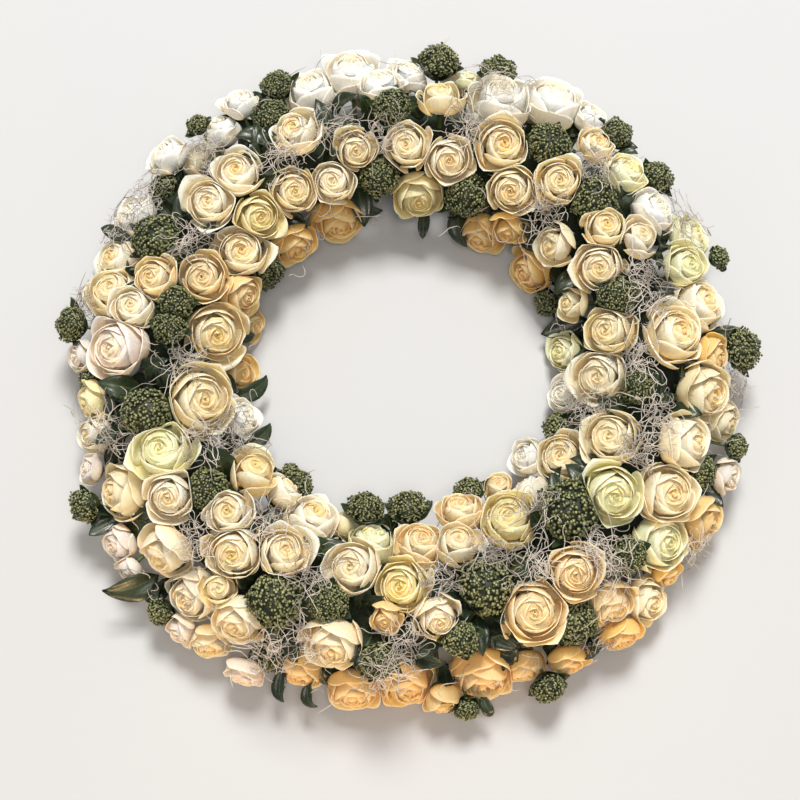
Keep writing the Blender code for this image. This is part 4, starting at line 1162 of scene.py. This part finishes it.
def photograph_leaf(bloom, draw):
    """A leaf of the photograph, from its gap to the pixel of its tip."""
    tip = seen_at(bloom.row[2], bloom.row[3], LEAF_TIP_REACH)
    way = tip - bloom.place
    longer = max(1.0, LEAF_LENGTH_PER_WIDTH * bloom.row[4] / np.linalg.norm(way))
    tip = bloom.place + way * longer + LEAF_TIP_LIFT * bloom.out
    foot = bloom.place - 0.014 * bloom.out - 0.25 * way
    bend = bloom.place + 0.012 * bloom.out - 0.05 * way
    pale = min(math.dist(place, bloom.row[2:4]) for place in PALE_LEAVES) < PALE_REACH
    tone = PALE_TONE if pale else draw.uniform(0.0, 0.35)
    return grown_leaf(foot, bend, tip, max(1.15 * bloom.row[4] / 1000, LEAST_LEAF_WIDTH), tone, draw)


def collar_leaves(bloom, draw):
    """Leaves that stand out from under a skimmia head."""
    turned = axes_of(bloom.facing, SKIMMIA_GUIDE)
    leaves = []
    for k in range(COLLAR_LEAVES):
        angle = math.tau * (k + draw.uniform(-0.25, 0.25)) / COLLAR_LEAVES + bloom.number
        way = np.array([math.cos(angle), math.sin(angle), 0.0]) @ turned
        reach = bloom.radius * draw.uniform(1.10, 1.35) + 0.004
        foot = bloom.place - 0.7 * bloom.radius * bloom.facing
        bend = bloom.place + 0.75 * reach * way - 0.25 * bloom.radius * bloom.facing
        tip = bloom.place + reach * way + draw.uniform(-0.1, 0.35) * bloom.radius * bloom.facing
        width = draw.uniform(0.011, 0.016)
        leaves.append(grown_leaf(foot, bend, tip, width, draw.uniform(0.0, 0.5), draw))
    return leaves


def gap_places(draw, count, far, room):
    """Places at this distance from the ring's core that no head covers."""
    turn = draw.uniform(-math.pi, math.pi, TRIES_PER_GAP * count)
    climb = draw.uniform(-0.35, math.pi + 0.35, TRIES_PER_GAP * count)
    points = around_core(turn, climb, far)
    spare = (np.linalg.norm(points[:, None] - HEAD_PLACES[None], axis=2) - HEAD_SIZES).min(axis=1)
    return points[spare > room][:count]


def gap_leaf(place, draw):
    """A dark leaf that fills a gap between the heads."""
    out = round_core(place)[1]
    along = unit(np.cross(out, draw.normal(size=3)))
    foot = place - 0.012 * out - 0.008 * along
    tip = place + 0.010 * out + draw.uniform(0.014, 0.024) * along
    width = draw.uniform(0.014, 0.021)
    return grown_leaf(foot, place + 0.006 * out, tip, width, draw.uniform(0.0, 0.25), draw)


def make_leaves():
    """The leaves of every node: in its gaps, those of the photograph, and round its skimmia heads."""
    draw = np.random.default_rng(31)
    seen = [seen_at(x, y, GAP_DEPTH) for x, y in DEEP_GAPS]
    gaps = np.concatenate([gap_places(draw, GAP_LEAVES, GAP_DEPTH, LEAF_ROOM), seen, seen])
    far = np.linalg.norm(gaps[:, None] - HEAD_PLACES[None], axis=2)
    nearest = [HEADS[k].node for k in far.argmin(axis=1)]
    total = 0
    for node in FLOWER_NODES:
        leaves = [gap_leaf(place, draw) for place, name in zip(gaps, nearest) if name == node]
        for bloom in BLOOMS:
            if bloom.node == node and bloom.kind == "leaf":
                leaves.append(photograph_leaf(bloom, draw))
            if bloom.node == node and bloom.kind == "skimmia":
                leaves += collar_leaves(bloom, draw)
        if leaves:
            piece = new_piece("leaves_of_" + node, one_mesh(leaves), LEAF_FINISH, [node])
            thickened(piece, BLADE_THICKNESS)
            total += len(leaves)
    print("leaves:", total)


make_leaves()

# %% [markdown]
# ## Stems and sepals
# Under every head a short stem runs down into the foam. A rose also has its green calyx there: a small cup
# with five pointed sepals that hug the outer petals.

# %% Stems as curves
STEM_RADIUS = 0.0021
SPRIG_STEM_RADIUS = 0.0017
STEM_SHARES = np.linspace(0, 1, 5)[:, None]
FOOT_IN_FOAM = 0.006


def tube_mesh(paths, sizes, depth, resolution):
    """Round tubes along many paths as one mesh; the sizes are shares of the bevel's depth at each point."""
    curve = bpy.data.curves.new("tubes", "CURVE")
    curve.dimensions = "3D"
    curve.bevel_depth = depth
    curve.bevel_resolution = resolution
    curve.use_fill_caps = True
    for path, size in zip(paths, sizes):
        spline = curve.splines.new("POLY")
        spline.points.add(len(path) - 1)
        spline.points.foreach_set("co", np.column_stack([path, np.ones(len(path))]).ravel())
        spline.points.foreach_set("radius", size)
    bundle = bpy.data.objects.new("tubes", curve)
    mesh = bpy.data.meshes.new_from_object(bundle)
    bpy.data.objects.remove(bundle)
    return mesh


def stem_path(bloom):
    """The path of a stem, from inside its head to its foot in the foam."""
    top = bloom.place - 0.45 * bloom.radius * bloom.facing
    core, away, _ = round_core(bloom.place - 0.9 * bloom.radius * bloom.facing)
    foot = core + away * (FOAM_RADIUS - FOOT_IN_FOAM)
    middle = (top + foot) / 2 - 0.15 * np.linalg.norm(top - foot) * bloom.facing
    return bent_path(top, middle, foot, STEM_SHARES)


def make_stems():
    """One bundle of stems for every node with heads."""
    for node in FLOWER_NODES:
        heads = [bloom for bloom in HEADS if bloom.node == node]
        if heads:
            thick = [STEM_RADIUS if bloom.kind == "rose" else SPRIG_STEM_RADIUS for bloom in heads]
            sizes = [np.full(len(STEM_SHARES), each) for each in thick]
            mesh = tube_mesh([stem_path(bloom) for bloom in heads], sizes, 1.0, 1)
            new_piece("stems_of_" + node, mesh, STEM_FINISH, [node])
    print("stems:", len(HEADS))


make_stems()


# %% Calyx and sepals
SEPALS = 5
SEPAL_CELLS = (2, 4)
FLAT_CALYX = flat_grids("flat_calyx", [SEPAL_CELLS] * SEPALS)
SEPAL_OFF_FLOOR = 0.001
SEPAL_TONE = 0.85


def grown_calyx(bloom):
    """Five sepals that close into a cup below the petals and point outwards."""
    draw = np.random.default_rng(3000 + bloom.number)
    across, along, number = read_grids(FLAT_CALYX)
    droop = draw.uniform(-0.08, 0.10, SEPALS)[number]
    half = np.clip(0.62 * (1 - along) ** 0.8, 0.015, None)
    turn = math.tau * (number + 0.1 * draw.uniform(-1, 1, SEPALS)[number]) / SEPALS + across * half
    out = 0.08 + 0.62 * np.sin(math.pi / 2 * along) + 0.03 * across ** 2
    up = -0.80 + 0.22 * along + (0.42 - droop) * along ** 2.2
    local = np.stack([out * np.cos(turn), out * np.sin(turn), up], axis=1)
    places = pressed(bloom, bloom.place + bloom.radius * local @ rose_axes(bloom))
    blade = np.stack([across, along, np.full(len(along), SEPAL_TONE)], axis=1)
    return FLAT_CALYX, off_floor(places, SEPAL_OFF_FLOOR), {"blade": blade}


grow_pieces("rose", grown_calyx, "sepals_of_", LEAF_FINISH, "leaves")

# %% [markdown]
# ## Dry moss
# The moss is a tangle of thin grey curls. Each curl is a path that keeps turning as it goes, pushed off the
# heads that it meets, and all the curls of a sector are one curve with a thin bevel, which is then made a
# mesh.

# %% Where the moss shows
# Pixels of the tufts
MOSS_TUFTS = (
    (203, 155), (148, 195), (120, 225), (330, 125), (285, 155), (385, 135), (470, 125), (545, 215),
    (190, 245), (85, 300), (180, 360), (200, 440), (235, 435), (110, 430), (265, 525), (315, 572),
    (300, 640), (265, 650), (195, 540), (400, 640), (440, 580), (385, 665), (490, 550), (535, 560),
    (600, 550), (700, 550), (610, 570), (600, 640), (650, 300), (685, 225), (640, 270), (655, 415),
    (640, 360), (590, 410), (640, 450), (735, 385), (500, 90), (600, 165), (535, 505),
)
CURLS_IN_TUFT = 47
CURLS_IN_GAPS = 120
CURL_POINTS = 12
CURL_STEP = 0.0029
CURL_RADIUS = 0.00034
MOSS_SECTORS = 12
MOSS_REACH = 0.098
LOOSE_CURLS = 190
LOOSE_REACH = 0.118
MOSS_EASED = 0.116
MOSS_EASE = 0.45
MOSS_OFF_FLOOR = 0.002
MOSS_OFF_FOAM = 0.004
TUFT_DEPTH = 0.082
TUFT_SPREAD = 0.0085
GAP_MOSS_DEPTH = 0.066
GAP_MOSS_ROOM = 0.0005
MOSS_BESIDE = 0.95
LOOSE_BESIDE = 0.98
FIRST_BEND = 0.45
AXIS_WANDER = 0.8
BEND_KEPT = 0.86
BEND_ADDED = 0.36


# %% Curl paths
def curl_paths(starts, draw, reach):
    """Paths of many curls at once, as an array of curls by points."""
    count = len(starts)
    outward = round_core(starts)[1]
    way = unit(np.cross(outward, draw.normal(size=(count, 3))))
    bend = FIRST_BEND * draw.normal(size=count)
    points = [starts]
    for _ in range(CURL_POINTS - 1):
        axis = unit(outward + AXIS_WANDER * draw.normal(size=(count, 3)))
        angle = bend[:, None]
        way = way * np.cos(angle) + np.cross(axis, way) * np.sin(angle)
        way = unit(way + (axis * way).sum(axis=1, keepdims=True) * axis * (1 - np.cos(angle)))
        step = points[-1] + CURL_STEP * way
        core, outward, far = round_core(step)
        far = np.clip(far, FOAM_RADIUS + MOSS_OFF_FOAM, reach)
        step = beside_heads(core + outward * far[:, None], 1.0, rounds=2)
        points.append(off_floor(step, MOSS_OFF_FLOOR))
        bend = BEND_KEPT * bend + BEND_ADDED * draw.normal(size=count)
    paths = np.stack(points, axis=1)
    paths[..., 2] -= (1 - MOSS_EASE) * np.clip(paths[..., 2] - MOSS_EASED, 0, None)
    return paths


def loose_starts(draw):
    """Places at the wreath's outer and inner rims, where single curls stick out."""
    turn = draw.uniform(-math.pi, math.pi, LOOSE_CURLS)
    outer = draw.uniform(0, 1, LOOSE_CURLS) < 0.75
    climb = np.where(outer, draw.uniform(0.0, 0.9, LOOSE_CURLS), draw.uniform(2.3, 3.1, LOOSE_CURLS))
    return around_core(turn, climb, draw.uniform(0.080, 0.094, LOOSE_CURLS)[:, None])


def make_moss():
    """Every curl of moss, as one piece for each sector of the ring."""
    draw = np.random.default_rng(57)
    tufts = np.array([seen_at(x, y, TUFT_DEPTH) for x, y in MOSS_TUFTS])
    starts = np.repeat(tufts, CURLS_IN_TUFT, axis=0)
    starts = starts + draw.normal(scale=TUFT_SPREAD, size=starts.shape)
    starts = np.concatenate([starts, gap_places(draw, CURLS_IN_GAPS, GAP_MOSS_DEPTH, GAP_MOSS_ROOM)])
    starts = beside_heads(starts, MOSS_BESIDE)
    loose = beside_heads(loose_starts(draw), LOOSE_BESIDE)
    paths = np.concatenate([curl_paths(starts, draw, MOSS_REACH), curl_paths(loose, draw, LOOSE_REACH)])
    starts = np.concatenate([starts, loose])
    turn = np.arctan2(starts[:, 1], starts[:, 0]) / math.tau + 0.5
    sector = (turn * MOSS_SECTORS).astype(int) % MOSS_SECTORS
    taper = 1.15 - 0.6 * np.abs(np.linspace(-1, 1, CURL_POINTS)) ** 3
    for number in range(MOSS_SECTORS):
        curls = paths[sector == number]
        sizes = [taper * draw.uniform(0.7, 1.15) for _ in curls]
        mesh = tube_mesh(curls, sizes, CURL_RADIUS, 0)
        new_piece(f"moss_{number + 1:02d}", mesh, MOSS_FINISH)
    print("curls of moss:", len(paths))


make_moss()
